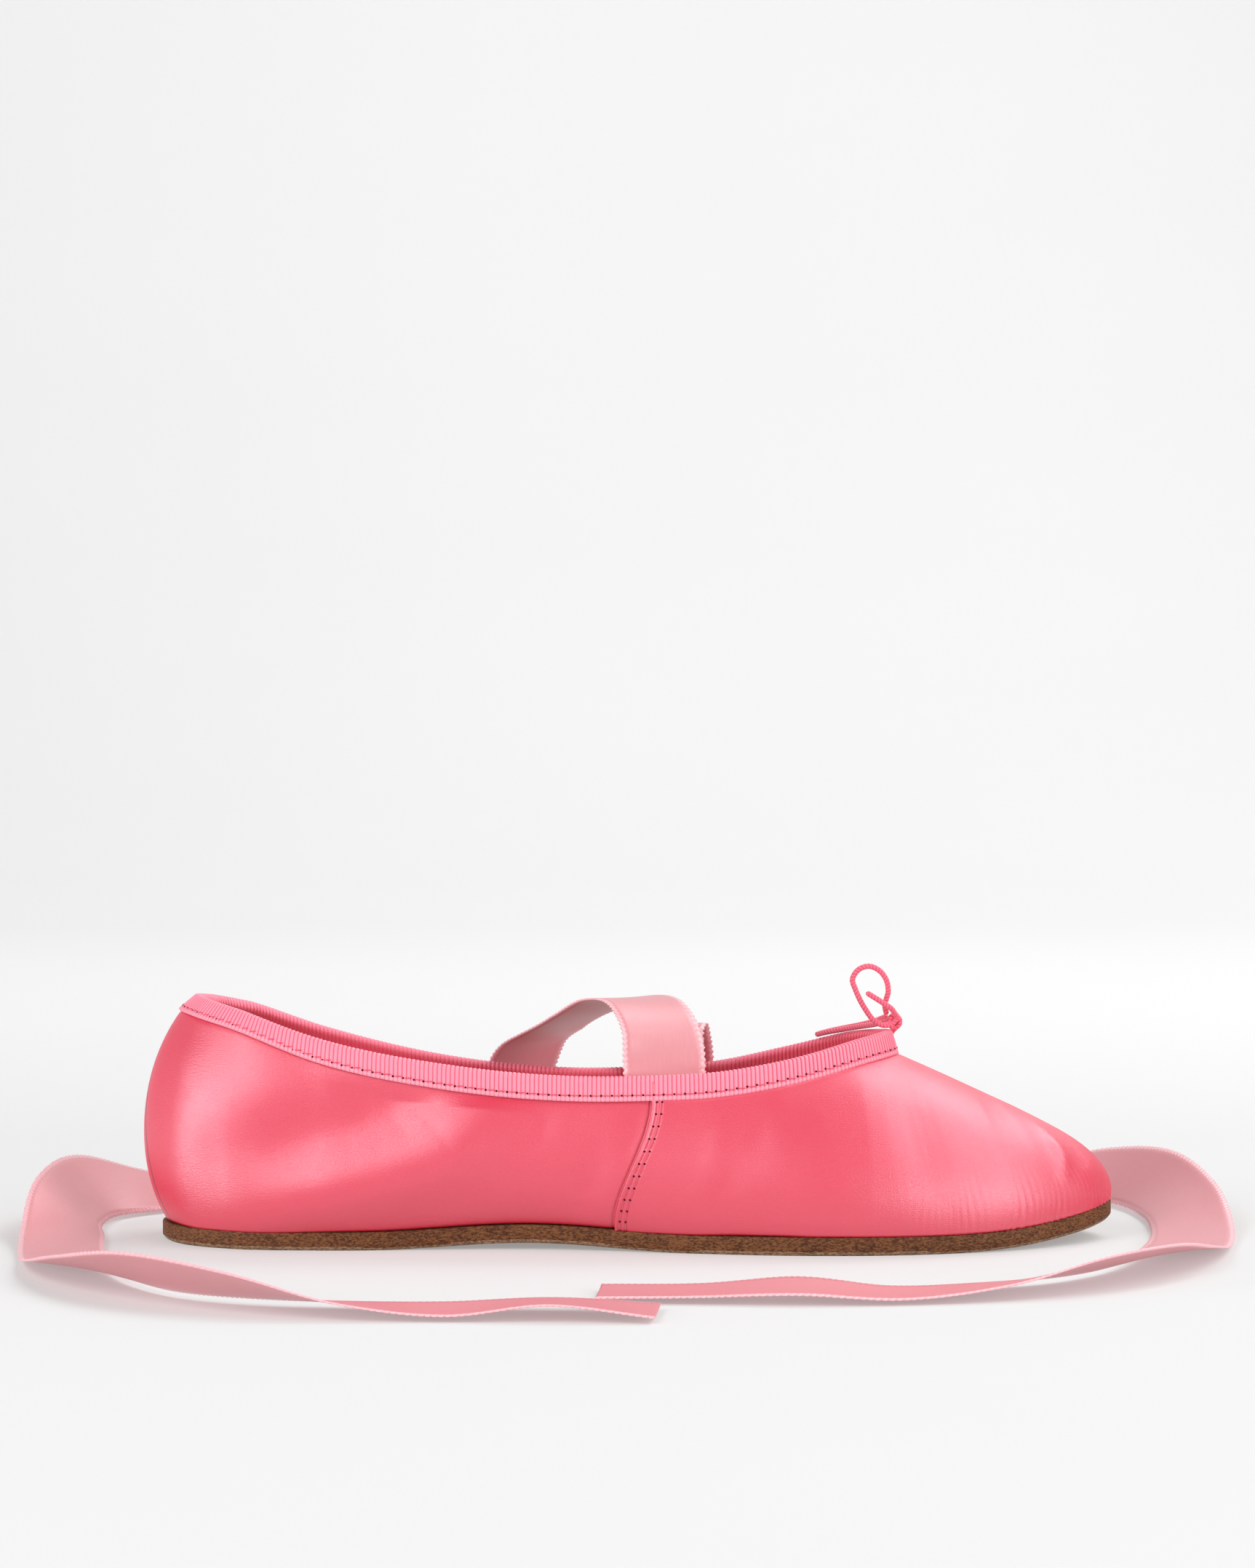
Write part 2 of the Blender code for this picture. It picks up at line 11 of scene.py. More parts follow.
import bmesh
import bpy
import numpy as np
from mathutils import Vector
from mathutils.noise import noise
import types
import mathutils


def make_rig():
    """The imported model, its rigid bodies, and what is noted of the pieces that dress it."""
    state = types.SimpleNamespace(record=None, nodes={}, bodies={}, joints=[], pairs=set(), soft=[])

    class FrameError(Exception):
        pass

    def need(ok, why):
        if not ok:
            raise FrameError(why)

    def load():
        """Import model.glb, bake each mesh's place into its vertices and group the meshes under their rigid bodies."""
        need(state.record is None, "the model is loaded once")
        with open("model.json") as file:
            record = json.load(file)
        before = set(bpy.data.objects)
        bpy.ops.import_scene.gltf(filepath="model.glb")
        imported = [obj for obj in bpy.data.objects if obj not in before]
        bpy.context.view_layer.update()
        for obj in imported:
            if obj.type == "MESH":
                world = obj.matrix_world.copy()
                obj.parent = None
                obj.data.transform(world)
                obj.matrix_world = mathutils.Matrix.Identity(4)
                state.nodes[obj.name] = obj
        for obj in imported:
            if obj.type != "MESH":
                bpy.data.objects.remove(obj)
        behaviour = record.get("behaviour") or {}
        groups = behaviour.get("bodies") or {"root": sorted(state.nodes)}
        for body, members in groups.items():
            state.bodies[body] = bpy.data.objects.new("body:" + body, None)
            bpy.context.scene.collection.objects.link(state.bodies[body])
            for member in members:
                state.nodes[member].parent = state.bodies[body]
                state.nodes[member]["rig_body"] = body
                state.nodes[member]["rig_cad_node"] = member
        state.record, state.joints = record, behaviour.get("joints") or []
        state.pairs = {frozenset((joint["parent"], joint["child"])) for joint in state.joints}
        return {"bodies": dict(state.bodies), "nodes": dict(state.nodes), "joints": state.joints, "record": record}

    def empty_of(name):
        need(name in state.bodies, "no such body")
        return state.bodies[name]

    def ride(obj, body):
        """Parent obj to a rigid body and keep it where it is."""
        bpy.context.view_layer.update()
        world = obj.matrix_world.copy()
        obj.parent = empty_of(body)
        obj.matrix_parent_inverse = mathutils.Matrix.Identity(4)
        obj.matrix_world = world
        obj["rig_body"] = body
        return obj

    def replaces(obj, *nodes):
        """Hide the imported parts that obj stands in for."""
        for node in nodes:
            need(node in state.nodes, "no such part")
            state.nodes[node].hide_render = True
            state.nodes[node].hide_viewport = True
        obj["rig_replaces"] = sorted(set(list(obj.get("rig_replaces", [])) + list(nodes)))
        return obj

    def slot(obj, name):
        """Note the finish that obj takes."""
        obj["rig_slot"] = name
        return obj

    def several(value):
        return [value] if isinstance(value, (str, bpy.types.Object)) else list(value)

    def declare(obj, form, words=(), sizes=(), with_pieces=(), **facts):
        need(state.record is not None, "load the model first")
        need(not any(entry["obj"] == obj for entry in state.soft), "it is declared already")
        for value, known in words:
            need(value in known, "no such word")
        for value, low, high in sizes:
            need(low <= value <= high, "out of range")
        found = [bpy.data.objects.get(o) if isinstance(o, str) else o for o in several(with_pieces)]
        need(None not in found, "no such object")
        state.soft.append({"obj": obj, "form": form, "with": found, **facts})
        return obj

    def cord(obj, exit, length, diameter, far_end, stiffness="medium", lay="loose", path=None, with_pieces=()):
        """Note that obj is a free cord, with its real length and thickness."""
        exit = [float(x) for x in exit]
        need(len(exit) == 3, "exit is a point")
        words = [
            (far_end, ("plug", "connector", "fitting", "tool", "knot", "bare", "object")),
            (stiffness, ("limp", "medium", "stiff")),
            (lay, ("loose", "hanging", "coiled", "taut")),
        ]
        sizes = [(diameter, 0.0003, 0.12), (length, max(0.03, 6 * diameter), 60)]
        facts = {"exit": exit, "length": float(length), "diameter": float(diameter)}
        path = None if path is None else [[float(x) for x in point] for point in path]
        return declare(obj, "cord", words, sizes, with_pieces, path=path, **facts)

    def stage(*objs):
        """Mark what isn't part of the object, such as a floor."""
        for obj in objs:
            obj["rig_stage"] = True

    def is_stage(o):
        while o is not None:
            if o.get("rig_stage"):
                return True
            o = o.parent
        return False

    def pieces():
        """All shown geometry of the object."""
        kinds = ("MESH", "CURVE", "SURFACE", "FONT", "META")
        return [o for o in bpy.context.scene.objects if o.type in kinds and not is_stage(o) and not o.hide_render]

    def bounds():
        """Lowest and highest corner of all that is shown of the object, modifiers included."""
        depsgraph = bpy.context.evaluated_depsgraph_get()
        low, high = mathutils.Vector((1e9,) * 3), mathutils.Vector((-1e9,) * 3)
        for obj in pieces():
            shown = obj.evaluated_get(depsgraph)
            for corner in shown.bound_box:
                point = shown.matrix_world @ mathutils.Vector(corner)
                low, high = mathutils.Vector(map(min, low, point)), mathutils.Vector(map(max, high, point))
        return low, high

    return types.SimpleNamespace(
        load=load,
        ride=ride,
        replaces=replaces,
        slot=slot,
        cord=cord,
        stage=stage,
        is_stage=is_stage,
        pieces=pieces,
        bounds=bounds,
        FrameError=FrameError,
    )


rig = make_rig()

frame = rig.load()
cad_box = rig.bounds()
print("solids:", sorted(frame["nodes"]))

# %% [markdown]
# ## The camera
# The shoe was seen from the lateral side, a little above the floor. The lens follows from the frame's
# width, and the camera tips down a touch so that the floor fills the lower half.

# %% Camera
CAMERA_BACK = 1.18
CAMERA_HEIGHT = 0.1631
CAMERA_DROP = 0.043
FRAME_WIDTH_PX = 1725
FOCAL_PX = 6136
SENSOR = 36.0


def add_object(name, data):
    made = bpy.data.objects.new(name, data)
    bpy.context.scene.collection.objects.link(made)
    return made


camera_data = bpy.data.cameras.new("camera")
camera_data.sensor_fit = 'HORIZONTAL'
camera_data.sensor_width = SENSOR
camera_data.lens = SENSOR * FOCAL_PX / FRAME_WIDTH_PX
camera = add_object("camera", camera_data)
camera.location = (0, -CAMERA_BACK, CAMERA_HEIGHT)
camera.rotation_euler = (pi / 2 - atan2(CAMERA_DROP, CAMERA_BACK), 0, 0)
bpy.context.scene.camera = camera
print("lens", round(camera_data.lens, 1), "mm")

# %% [markdown]
# ## The driving sizes
# A last maker starts from the length, the ball width and the heights at heel and instep. The sizes and
# tables that shaped the solids are written again here, so every finished piece follows its solid.

# %% Driving sizes
SOLE_LENGTH = 0.2515
HALF_BALL = 0.039
HEEL_HEIGHT = 0.0595
INSTEP_HEIGHT = 0.048
SOLE_THICKNESS = 0.0048
TOE_SPRING = 0.0052
ARCH_RISE = 0.0018
SOLE_MARGIN = 0.0010
UPPER_WALL = 0.0013
VAMP_LAP = 0.0008
COLLAR_STAND = 0.006
TAPE_THICKNESS = 0.0007
INSOLE_THICKNESS = 0.002
INSOLE_CLEARANCE = 0.0004
GAP = 0.0003
ORIGIN_PLACE, ARCH_START, ARCH_END, SPRING_START, SPRING_POWER = 0.49, 0.22, 0.56, 0.80, 2.3

SOLE_ROWS = [
    # place, lateral, medial
    (0.000, 0.000, 0.000), (0.022, 0.400, 0.380), (0.076, 0.645, 0.615), (0.170, 0.735, 0.690),
    (0.290, 0.700, 0.600), (0.398, 0.705, 0.545), (0.476, 0.775, 0.590), (0.557, 0.880, 0.690),
    (0.656, 0.980, 0.870), (0.748, 0.978, 0.982), (0.823, 0.886, 0.950), (0.887, 0.740, 0.830),
    (0.940, 0.520, 0.630), (0.981, 0.270, 0.350), (1.000, 0.000, 0.000),
]
WALL_ROWS = [
    # belly out, belly rise, neck forward, neck side, neck fall
    (0.225, 0.26, -0.300, 0.000, 0.30), (0.210, 0.26, -0.200, 0.150, 0.31),
    (0.200, 0.27, -0.050, 0.210, 0.32), (0.200, 0.28, 0.000, 0.180, 0.33),
    (0.210, 0.28, 0.000, 0.150, 0.32), (0.210, 0.28, 0.000, 0.140, 0.31),
    (0.200, 0.29, 0.000, 0.140, 0.31), (0.190, 0.30, 0.000, 0.150, 0.30),
    (0.180, 0.32, 0.020, 0.210, 0.27), (0.165, 0.33, 0.090, 0.330, 0.17),
    (0.155, 0.34, 0.130, 0.490, 0.07), (0.140, 0.36, 0.160, 0.440, 0.08),
    (0.115, 0.38, 0.210, 0.330, 0.12), (0.085, 0.41, 0.260, 0.180, 0.18),
    (0.060, 0.42, 0.275, 0.000, 0.22),
]
COLLAR_ROWS = [
    # place, lateral, medial, height, medial drop, lean
    (0.018, 0.000, 0.000, 1.000, 0.000, 1.20), (0.037, 0.270, 0.265, 0.985, 0.000, 1.15),
    (0.080, 0.500, 0.480, 0.941, 0.005, 0.95), (0.170, 0.680, 0.650, 0.807, 0.024, 0.40),
    (0.298, 0.744, 0.705, 0.697, 0.050, 0.20), (0.425, 0.770, 0.710, 0.647, 0.055, 0.20),
    (0.514, 0.775, 0.705, 0.648, 0.050, 0.20), (0.580, 0.744, 0.690, 0.660, 0.040, 0.20),
    (0.660, 0.654, 0.630, 0.712, 0.020, 0.20), (0.732, 0.410, 0.405, 0.781, 0.006, 0.25),
]
RIDGE_ROWS = [
    # place, height
    (0.7725, 1.000), (0.8150, 0.900), (0.8540, 0.806), (0.8880, 0.724), (0.9140, 0.655),
]
THROAT_LEAN = 0.30
SEAM_ROW, THROAT_ROW, TOE_ROW = 6, 10, 14
FULL_TURN, COLLAR_TURN = 2 * TOE_ROW, 2 * THROAT_ROW
print("sole", SOLE_LENGTH * 1000, "mm long and", HALF_BALL * 2000, "mm wide at the ball")

# %% [markdown]
# ## Smooth lines through short tables
# The edge of the sole and the lower edge of the collar tape are closed smooth lines. Each is read by a row
# number that runs from the heel round the lateral side to the toe and back along the medial side.


# %% Lines of the sole and the collar
def track(keys, rows, at, steady=False):
    """A smooth reading between the rows of a table; a steady one never overshoots a row."""
    keys = np.asarray(keys, float)
    rows = np.asarray(rows, float).reshape(len(keys), -1)
    steps = np.diff(keys)[:, None]
    rises = np.diff(rows, axis=0) / steps
    slopes = np.vstack([rises[:1], rises])
    slopes[1:-1] = (rises[:-1] * steps[1:] + rises[1:] * steps[:-1]) / (steps[1:] + steps[:-1])
    if steady:
        product = rises[:-1] * rises[1:]
        total = np.where(product > 0, rises[:-1] + rises[1:], 1)
        slopes[1:-1] = np.where(product > 0, 2 * product / total, 0)
    cell = min(max(int(np.searchsorted(keys, at, side="right")) - 1, 0), len(steps) - 1)
    width = steps[cell, 0]
    t = (at - keys[cell]) / width
    start = (1 + 2 * t) * (1 - t) ** 2 * rows[cell] + t * (1 - t) ** 2 * width * slopes[cell]
    end = t * t * (3 - 2 * t) * rows[cell + 1] + t * t * (t - 1) * width * slopes[cell + 1]
    return start + end


def run_along(lengths):
    """Metres from the first spot to each one, from the lengths between them."""
    return np.concatenate(([0.0], np.cumsum(lengths)))


def run_of(spots):
    return run_along([(b - a).length for a, b in zip(spots, spots[1:])])


class Loop:
    """A closed line through the rows of a table, read by row number."""

    def __init__(self, rows):
        self.numbers = np.arange(-3, len(rows) + 4)
        self.rows = np.array(rows)[self.numbers % len(rows)]
        self.places = run_along(np.linalg.norm(np.diff(self.rows[:, :2], axis=0), axis=1))

    def read(self, number):
        place = track(self.numbers, self.places, number, steady=True)[0]
        return track(self.places, self.rows, place)

    def outward(self, number):
        ahead = self.read(number + 0.01) - self.read(number - 0.01)
        return Vector((ahead[1], -ahead[0], 0)).normalized()


def along_sole(place):
    return (place - ORIGIN_PLACE) * SOLE_LENGTH


def sole_row(side, reach, row):
    belly_out, belly_rise, forward, sideways, fall = row[3:]
    across = side * HALF_BALL
    return (along_sole(row[0]), across * row[reach], HALF_BALL * belly_out, belly_rise,
            HALF_BALL * forward, across * sideways, fall)


def collar_row(side, reach, row, drop):
    return (along_sole(row[0]), side * HALF_BALL * row[reach], HEEL_HEIGHT * (row[3] - drop), row[5])


both = [sole + wall for sole, wall in zip(SOLE_ROWS, WALL_ROWS)]
SOLE_LINE = Loop([sole_row(-1, 1, row) for row in both] + [sole_row(1, 2, row) for row in both[-2:0:-1]])
throat = (RIDGE_ROWS[0][0], 0.0, 0.0, RIDGE_ROWS[0][1] * INSTEP_HEIGHT / HEEL_HEIGHT, 0.0, THROAT_LEAN)
both = COLLAR_ROWS + [throat]
COLLAR_LINE = Loop([collar_row(-1, 1, row, 0.0) for row in both]
                   + [collar_row(1, 2, row, row[4]) for row in both[-2:0:-1]])
print("lines of", len(SOLE_LINE.rows) - 7, "and", len(COLLAR_LINE.rows) - 7, "rows")

# %% [markdown]
# ## The wall between the two lines
# A cubic curve climbs from the sole's edge to the collar, or to the ridge over the toes. It swells over the
# sole first and leans in at the top, as satin does when it is pulled over a last. Four points a column are
# enough for that, and they are easier to tune than a sculpted wall.


# %% Wall of the upper
def outline(number, inset):
    x, y = SOLE_LINE.read(number)[:2]
    return Vector((x, y, 0)) - SOLE_LINE.outward(number) * inset


def sole_bottom(x):
    place = x / SOLE_LENGTH + ORIGIN_PLACE
    if place > SPRING_START:
        return TOE_SPRING * ((place - SPRING_START) / (1 - SPRING_START)) ** SPRING_POWER
    if ARCH_START < place < ARCH_END:
        return ARCH_RISE * sin(pi * (place - ARCH_START) / (ARCH_END - ARCH_START)) ** 2
    return 0.0


def heel_to_toe(number):
    return min(number, FULL_TURN - number)


def collar_number(number):
    return number if number <= TOE_ROW else number - FULL_TURN + COLLAR_TURN


def ridge(number):
    place, height = track(range(len(RIDGE_ROWS)), RIDGE_ROWS, heel_to_toe(number) - THROAT_ROW)
    return Vector((along_sole(place), 0, height * INSTEP_HEIGHT))


def on_collar(number):
    return heel_to_toe(number) <= THROAT_ROW


def foot_point(number):
    foot = outline(number, SOLE_MARGIN)
    foot.z = sole_bottom(foot.x) + SOLE_THICKNESS + GAP
    return foot


def wall_curve(number):
    """The four control points of the wall's curve in this column."""
    out, rise, forward, sideways, fall = SOLE_LINE.read(number)[2:]
    foot = foot_point(number)
    top = Vector(COLLAR_LINE.read(collar_number(number))[:3]) if on_collar(number) else ridge(number)
    height = top.z - foot.z
    belly = foot + SOLE_LINE.outward(number) * out + Vector((0, 0, rise * height))
    neck = top + Vector((forward, sideways, -fall * height))
    return foot, belly, neck, top


def wall_point(curve, share):
    foot, belly, neck, top = curve
    rest = 1 - share
    return (foot * rest ** 3 + belly * (3 * rest * rest * share)
            + neck * (3 * rest * share * share) + top * share ** 3)


def stand_frame(number):
    """Foot, upward and outward direction of the collar, where the tape is folded over it."""
    at = collar_number(number)
    x, y, z, lean = COLLAR_LINE.read(at)
    out = COLLAR_LINE.outward(at)
    up = (Vector((0, 0, 1)) - out * lean).normalized()
    return Vector((x, y, z)), up, up.cross(out.cross(up).normalized())


print("heel wall", round(wall_curve(0)[3].z * 1000, 1), "mm high")

# %% [markdown]
# ## Sheets from a grid
# Cloth and leather are sheets before they are shoes. Each piece starts as a flat grid whose corners are
# then laid on the shoe, with a UV map that counts metres along and up the piece, for weave, ribs and
# stitches.


# %% Grid helper
def lay_sheet(name, columns, rows, place, closed=False):
    """A grid of columns by rows faces laid out by place(column, row), which gives a point and its UV."""
    mesh = bpy.data.meshes.new(name)
    sheet = bmesh.new()
    bmesh.ops.create_grid(sheet, x_segments=columns, y_segments=rows, size=0.5)
    spread = sheet.loops.layers.uv.new("UVMap")
    spots = {}
    for corner in sheet.verts:
        key = (round((corner.co.x + 0.5) * columns), round((corner.co.y + 0.5) * rows))
        spots[corner] = place(*key)
    for face in sheet.faces:
        for loop in face.loops:
            loop[spread].uv = spots[loop.vert][1]
    for corner, (point, _) in spots.items():
        corner.co = point
    bmesh.ops.remove_doubles(sheet, verts=sheet.verts, dist=2e-6)
    if closed:
        bmesh.ops.recalc_face_normals(sheet, faces=sheet.faces)
    sheet.to_mesh(mesh)
    sheet.free()
    mesh.shade_smooth()
    print(name, len(mesh.polygons), "faces")
    return add_object(name, mesh)


def settle(piece, *looks, slot=None, stands_for=()):
    """Give the piece its finishes, its place on the shoe and the solids that it stands for."""
    for look in looks:
        piece.data.materials.append(look)
    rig.ride(piece, "root")
    if slot:
        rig.slot(piece, slot)
    if stands_for:
        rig.replaces(piece, *stands_for)
    return piece


# %% [markdown]
# ## Finishes
# Cloth shows by its sheen, by the way its threads catch light and by slow changes of tone. Each finish is a
# small node tree: noise for the tone, a stretched noise or a wave for the threads, and a bump from the same
# pattern. Values that are the same all over sit on the shader itself.


# %% Finish helper
class Finish:
    """A Principled material with short calls for the few nodes that every finish uses."""

    def __init__(self, name, roughness, **sockets):
        self.material = bpy.data.materials.new(name)
        self.material.use_nodes = True
        self.tree = self.material.node_tree
        self.shader = self.tree.nodes["Principled BSDF"]
        self.shader.inputs["Roughness"].default_value = roughness
        for socket, value in sockets.items():
            self.shader.inputs[socket.replace("_", " ")].default_value = value

    def node(self, kind, links=(), **settings):
        made = self.tree.nodes.new("ShaderNode" + kind)
        for key, value in settings.items():
            setattr(made, key, value)
        for socket, source in dict(links).items():
            if isinstance(source, bpy.types.NodeSocket):
                self.tree.links.new(source, made.inputs[socket])
            else:
                made.inputs[socket].default_value = source
        return made

    def coordinates(self, kind, scale=(1, 1, 1)):
        spot = self.node("TexCoord").outputs[kind]
        return self.node("Mapping", {"Vector": spot, "Scale": scale}).outputs["Vector"]

    def metres(self):
        """Metres along and up the piece, from its UV map."""
        spread = self.node("SeparateXYZ", {0: self.coordinates("UV")})
        return spread.outputs["X"], spread.outputs["Y"]

    def noise(self, kind, scale=(1, 1, 1), size=1.0, detail=3.0, rough=0.5):
        spot = self.coordinates(kind, scale)
        made = self.node("TexNoise", {"Vector": spot, "Scale": size, "Detail": detail, "Roughness": rough})
        return made.outputs["Fac"]

    def math(self, operation, first, second=0.0):
        return self.node("Math", {0: first, 1: second}, operation=operation).outputs[0]

    def fade(self, value, low, high):
        made = self.node("MapRange", {"Value": value, "From Min": low, "From Max": high})
        return made.outputs["Result"]

    def spread(self, value, low, high):
        made = self.node("MapRange", {"Value": value, "To Min": low, "To Max": high})
        return made.outputs["Result"]

    def blend(self, share, first, second):
        made = self.node("Mix", {0: share}, data_type='RGBA')
        for index, colour in ((6, first), (7, second)):
            if isinstance(colour, bpy.types.NodeSocket):
                self.tree.links.new(colour, made.inputs[index])
            else:
                made.inputs[index].default_value = (*colour, 1)
        return made.outputs[2]

    def colour(self, value):
        self.tree.links.new(value, self.shader.inputs["Base Color"])

    def roughness(self, value):
        self.tree.links.new(value, self.shader.inputs["Roughness"])

    def bump(self, height, distance, strength=1.0):
        made = self.node("Bump", {"Height": height, "Distance": distance, "Strength": strength})
        self.tree.links.new(made.outputs["Normal"], self.shader.inputs["Normal"])


PINK = (0.80, 0.044, 0.096)
PINK_DEEP = (0.72, 0.028, 0.068)
# the low tone is painted shade for the satin next to the sole
PINK_PAINTED_LOW_SHADE = (0.66, 0.012, 0.040)
PINK_SPECK = (0.70, 0.018, 0.054)
# the seam tone is painted shadow for the groove of the back seam
BACK_SEAM_PAINTED_SHADOW = (0.14, 0.004, 0.014)
MM = 1000.0

# %% [markdown]
# ## Satin
# Satin floats its threads over the surface, so it is smooth and glossy along them and matt across. A
# picture of cloth would stretch over the shape, so the finish is made of noise: fine streaks and specks
# along the piece and a slow cloudiness break up the gloss. Near the sole the satin is painted darker, as
# painted shade, and low on the heel a thin dark line is painted as the shadow of the back seam.


# %% Satin
BACK_SEAM = 0.0103  # metres from the heel's middle line


def make_satin(name, body, deep, roughness):
    cloth = Finish(name, roughness, Specular_IOR_Level=1.0, Specular_Tint=(1.0, 0.80, 0.90, 1), IOR=1.8,
                   Anisotropic=0.35)
    cloud = cloth.fade(cloth.noise("Object", size=38, detail=4), 0.35, 0.70)
    threads = cloth.noise("UV", (240, 5200, 1), detail=2, rough=0.6)
    slub = cloth.noise("UV", (1900, 2600, 1), detail=3, rough=0.7)
    speckle = cloth.fade(slub, 0.36, 0.64)
    along, up = cloth.metres()
    # painted shade: the satin is painted darker over its lowest 22 mm, next to the sole
    low = cloth.fade(up, 0.022, 0.002)
    shade = cloth.blend(cloth.math('MULTIPLY', cloud, 0.45), body, deep)
    shade = cloth.blend(cloth.math('MULTIPLY', low, 0.8), shade, PINK_PAINTED_LOW_SHADE)
    shade = cloth.blend(cloth.math('MULTIPLY', speckle, 0.75), shade, PINK_SPECK)
    # painted shadow: a thin dark line along the back seam, where its groove would be shaded
    leaning = cloth.math('ADD', along, cloth.math('MULTIPLY', up, 0.2))
    aside = cloth.math('ABSOLUTE', cloth.math('SUBTRACT', leaning, BACK_SEAM))
    seam = cloth.math('MULTIPLY', cloth.fade(aside, 0.0006, 0.0002), 0.85)
    cloth.colour(cloth.blend(seam, shade, BACK_SEAM_PAINTED_SHADOW))
    cloth.roughness(cloth.spread(slub, roughness - 0.09, roughness + 0.09))
    grain = cloth.math('ADD', cloth.math('MULTIPLY', threads, 0.4), cloth.math('MULTIPLY', slub, 0.8))
    cloth.bump(grain, 0.00014, 0.8)
    return cloth.material


SATIN = make_satin("upper_satin_cloth", PINK, PINK_DEEP, 0.35)
lining = Finish("cotton_lining", 0.85, Sheen_Weight=0.2, Specular_IOR_Level=0.2)
twill = lining.node("TexWave", {"Vector": lining.coordinates("UV", (900, 900, 1)), "Scale": 1.0,
                                "Distortion": 0.6}, bands_direction='DIAGONAL').outputs["Fac"]
lining.colour(lining.blend(twill, (0.72, 0.42, 0.40), (0.80, 0.52, 0.49)))
lining.bump(twill, 0.0001, 0.5)
LINING = lining.material

# %% [markdown]
# ## The satin upper
# The upper is two sheets: the quarters wrap the heel, and the vamp laps over them at a side seam. Each is
# laid out from sole to collar, pressed with its creases, then thickened inwards as real cloth with
# its lining. A dense grid lets a crease be a real trough that the light rolls through.

# %% Places on the upper
WALL_LIFTS = 76
STAND_LIFTS = 6
STAND_TOP = 0.92
THROAT_BLEND = 6 / 26
CLOSE_UP = 0.6
EDGE = SOLE_LINE.places[int(-SOLE_LINE.numbers[0])]
AROUND = track(SOLE_LINE.numbers, SOLE_LINE.places, FULL_TURN, steady=True)[0] - EDGE


def girth(number):
    """Metres round the sole's edge from the heel; the medial quarter counts down from zero."""
    place = track(SOLE_LINE.numbers, SOLE_LINE.places, number % FULL_TURN, steady=True)[0] - EDGE
    return place - AROUND if number < 0 else place


def wall_length(curve):
    return run_of([wall_point(curve, step / 8) for step in range(9)])[-1]


def upper_places(first, last, columns):
    """Places of a sheet of the upper between two row numbers; its columns close up towards the seams."""
    known = {}
    curves = {}

    def column_facts(column):
        share = column / columns
        number = first + (last - first) * (share - CLOSE_UP * sin(2 * pi * share) / (2 * pi))
        curve = wall_curve(number % FULL_TURN)
        stand = stand_frame(number % FULL_TURN) if on_collar(number % FULL_TURN) else None
        return number, girth(number), curve, wall_length(curve), stand

    def blended(number, share):
        """The wall near the throat, averaged over its neighbours so that no hard line runs down from it."""
        near = [wall_point(known_curve(number + step * THROAT_BLEND), share) for step in range(-3, 4)]
        return sum(near, Vector()) / len(near)

    def known_curve(number):
        key = round(number, 5)
        if key not in curves:
            curves[key] = wall_curve(key % FULL_TURN)
        return curves[key]

    def place(column, row):
        if column not in known:
            known[column] = column_facts(column)
        number, along, curve, length, stand = known[column]
        if row <= WALL_LIFTS:
            share = row / WALL_LIFTS
            point = wall_point(curve, share)
            rows_away = abs(heel_to_toe(number % FULL_TURN) - THROAT_ROW)
            part = min(1, 1.6 * max(0, 1 - rows_away / 1.1) * sin(pi * share) ** 0.6)
            if part > 0:
                point = point * (1 - part) + blended(number, share) * part
            return point, (along, share * length)
        if stand is None:
            return curve[3], (along, length)
        rise = COLLAR_STAND * STAND_TOP * (row - WALL_LIFTS) / STAND_LIFTS
        return stand[0] + stand[1] * rise, (along, length + rise)

    return place


print("round the sole", round(AROUND * MM), "mm")

# %% [markdown]
# ## Creases
# Each crease is a soft trough or ridge between two places, given by row number and by the share of the
# wall's height, with its width and its depth in millimetres. A minus sign presses the cloth in.

# %% Creases
CREASES = [
    # width, depth, then the row and share of each place on the line; first the long drag line and its ridge
    (10.0, -3.40, (1.96, 0.42), (2.62, 0.52), (3.22, 0.67), (3.55, 0.82), (3.90, 1.20)),
    (9.0, 2.20, (1.60, 0.00), (2.30, 0.08), (2.90, 0.22), (3.60, 0.38), (4.12, 0.58), (4.60, 1.20)),
    (9.0, -0.70, (0.90, 0.15), (0.90, 0.85)),  # flat beside the heel's roundness
    (3.0, -0.30, (4.82, 1.00), (4.80, 0.66)),  # pull from the tape
    (3.5, -0.60, (5.50, 0.62), (5.58, 0.22)),  # pull from the sole
    (3.0, -0.36, (5.86, 0.95), (5.86, 0.55)),  # hollow behind the seam
    (4.0, 0.22, (7.05, 0.90), (7.15, 0.45)),  # soft upright folds of the vamp
    (4.0, -0.20, (7.60, 0.90), (7.60, 0.52)),
    (3.4, -0.14, (7.45, 0.48), (7.16, 0.26)),
    (12.0, -0.80, (7.00, 0.15), (8.30, 0.15)),  # the vamp draws in low at the ball
    (8.0, -0.34, (8.55, 0.90), (8.80, 0.55), (8.95, 0.15)),  # start of the toe's fullness
    (8.0, -0.40, (9.70, 0.70), (9.75, 0.25)),
    (14.0, -0.30, (9.30, 0.95), (10.60, 0.95)),
    (12.0, -0.50, (11.30, 0.72), (12.20, 0.72)),
    (2.8, 0.80, (12.66, 0.62), (12.50, 0.44), (12.25, 0.30)),  # pinch beside the toe tip
    (3.0, -0.30, (13.10, 0.52), (12.90, 0.30)),
    (8.0, -1.10, (26.10, 0.45), (25.30, 0.62), (24.40, 0.85)),  # the medial side's own drag line
    (8.0, 0.70, (26.20, 0.18), (24.90, 0.35), (23.90, 0.62)),
    (3.2, 0.28, (22.40, 0.85), (22.50, 0.35)),
    (3.8, 0.26, (21.20, 0.90), (20.90, 0.35)),
    (6.0, -0.40, (18.90, 0.75), (19.10, 0.20)),
]
CREASE_START = 0.0035  # the creases reach their depth this far below the tape
NORMAL_ROUNDS = 8
PLEAT_PITCH = 0.0019
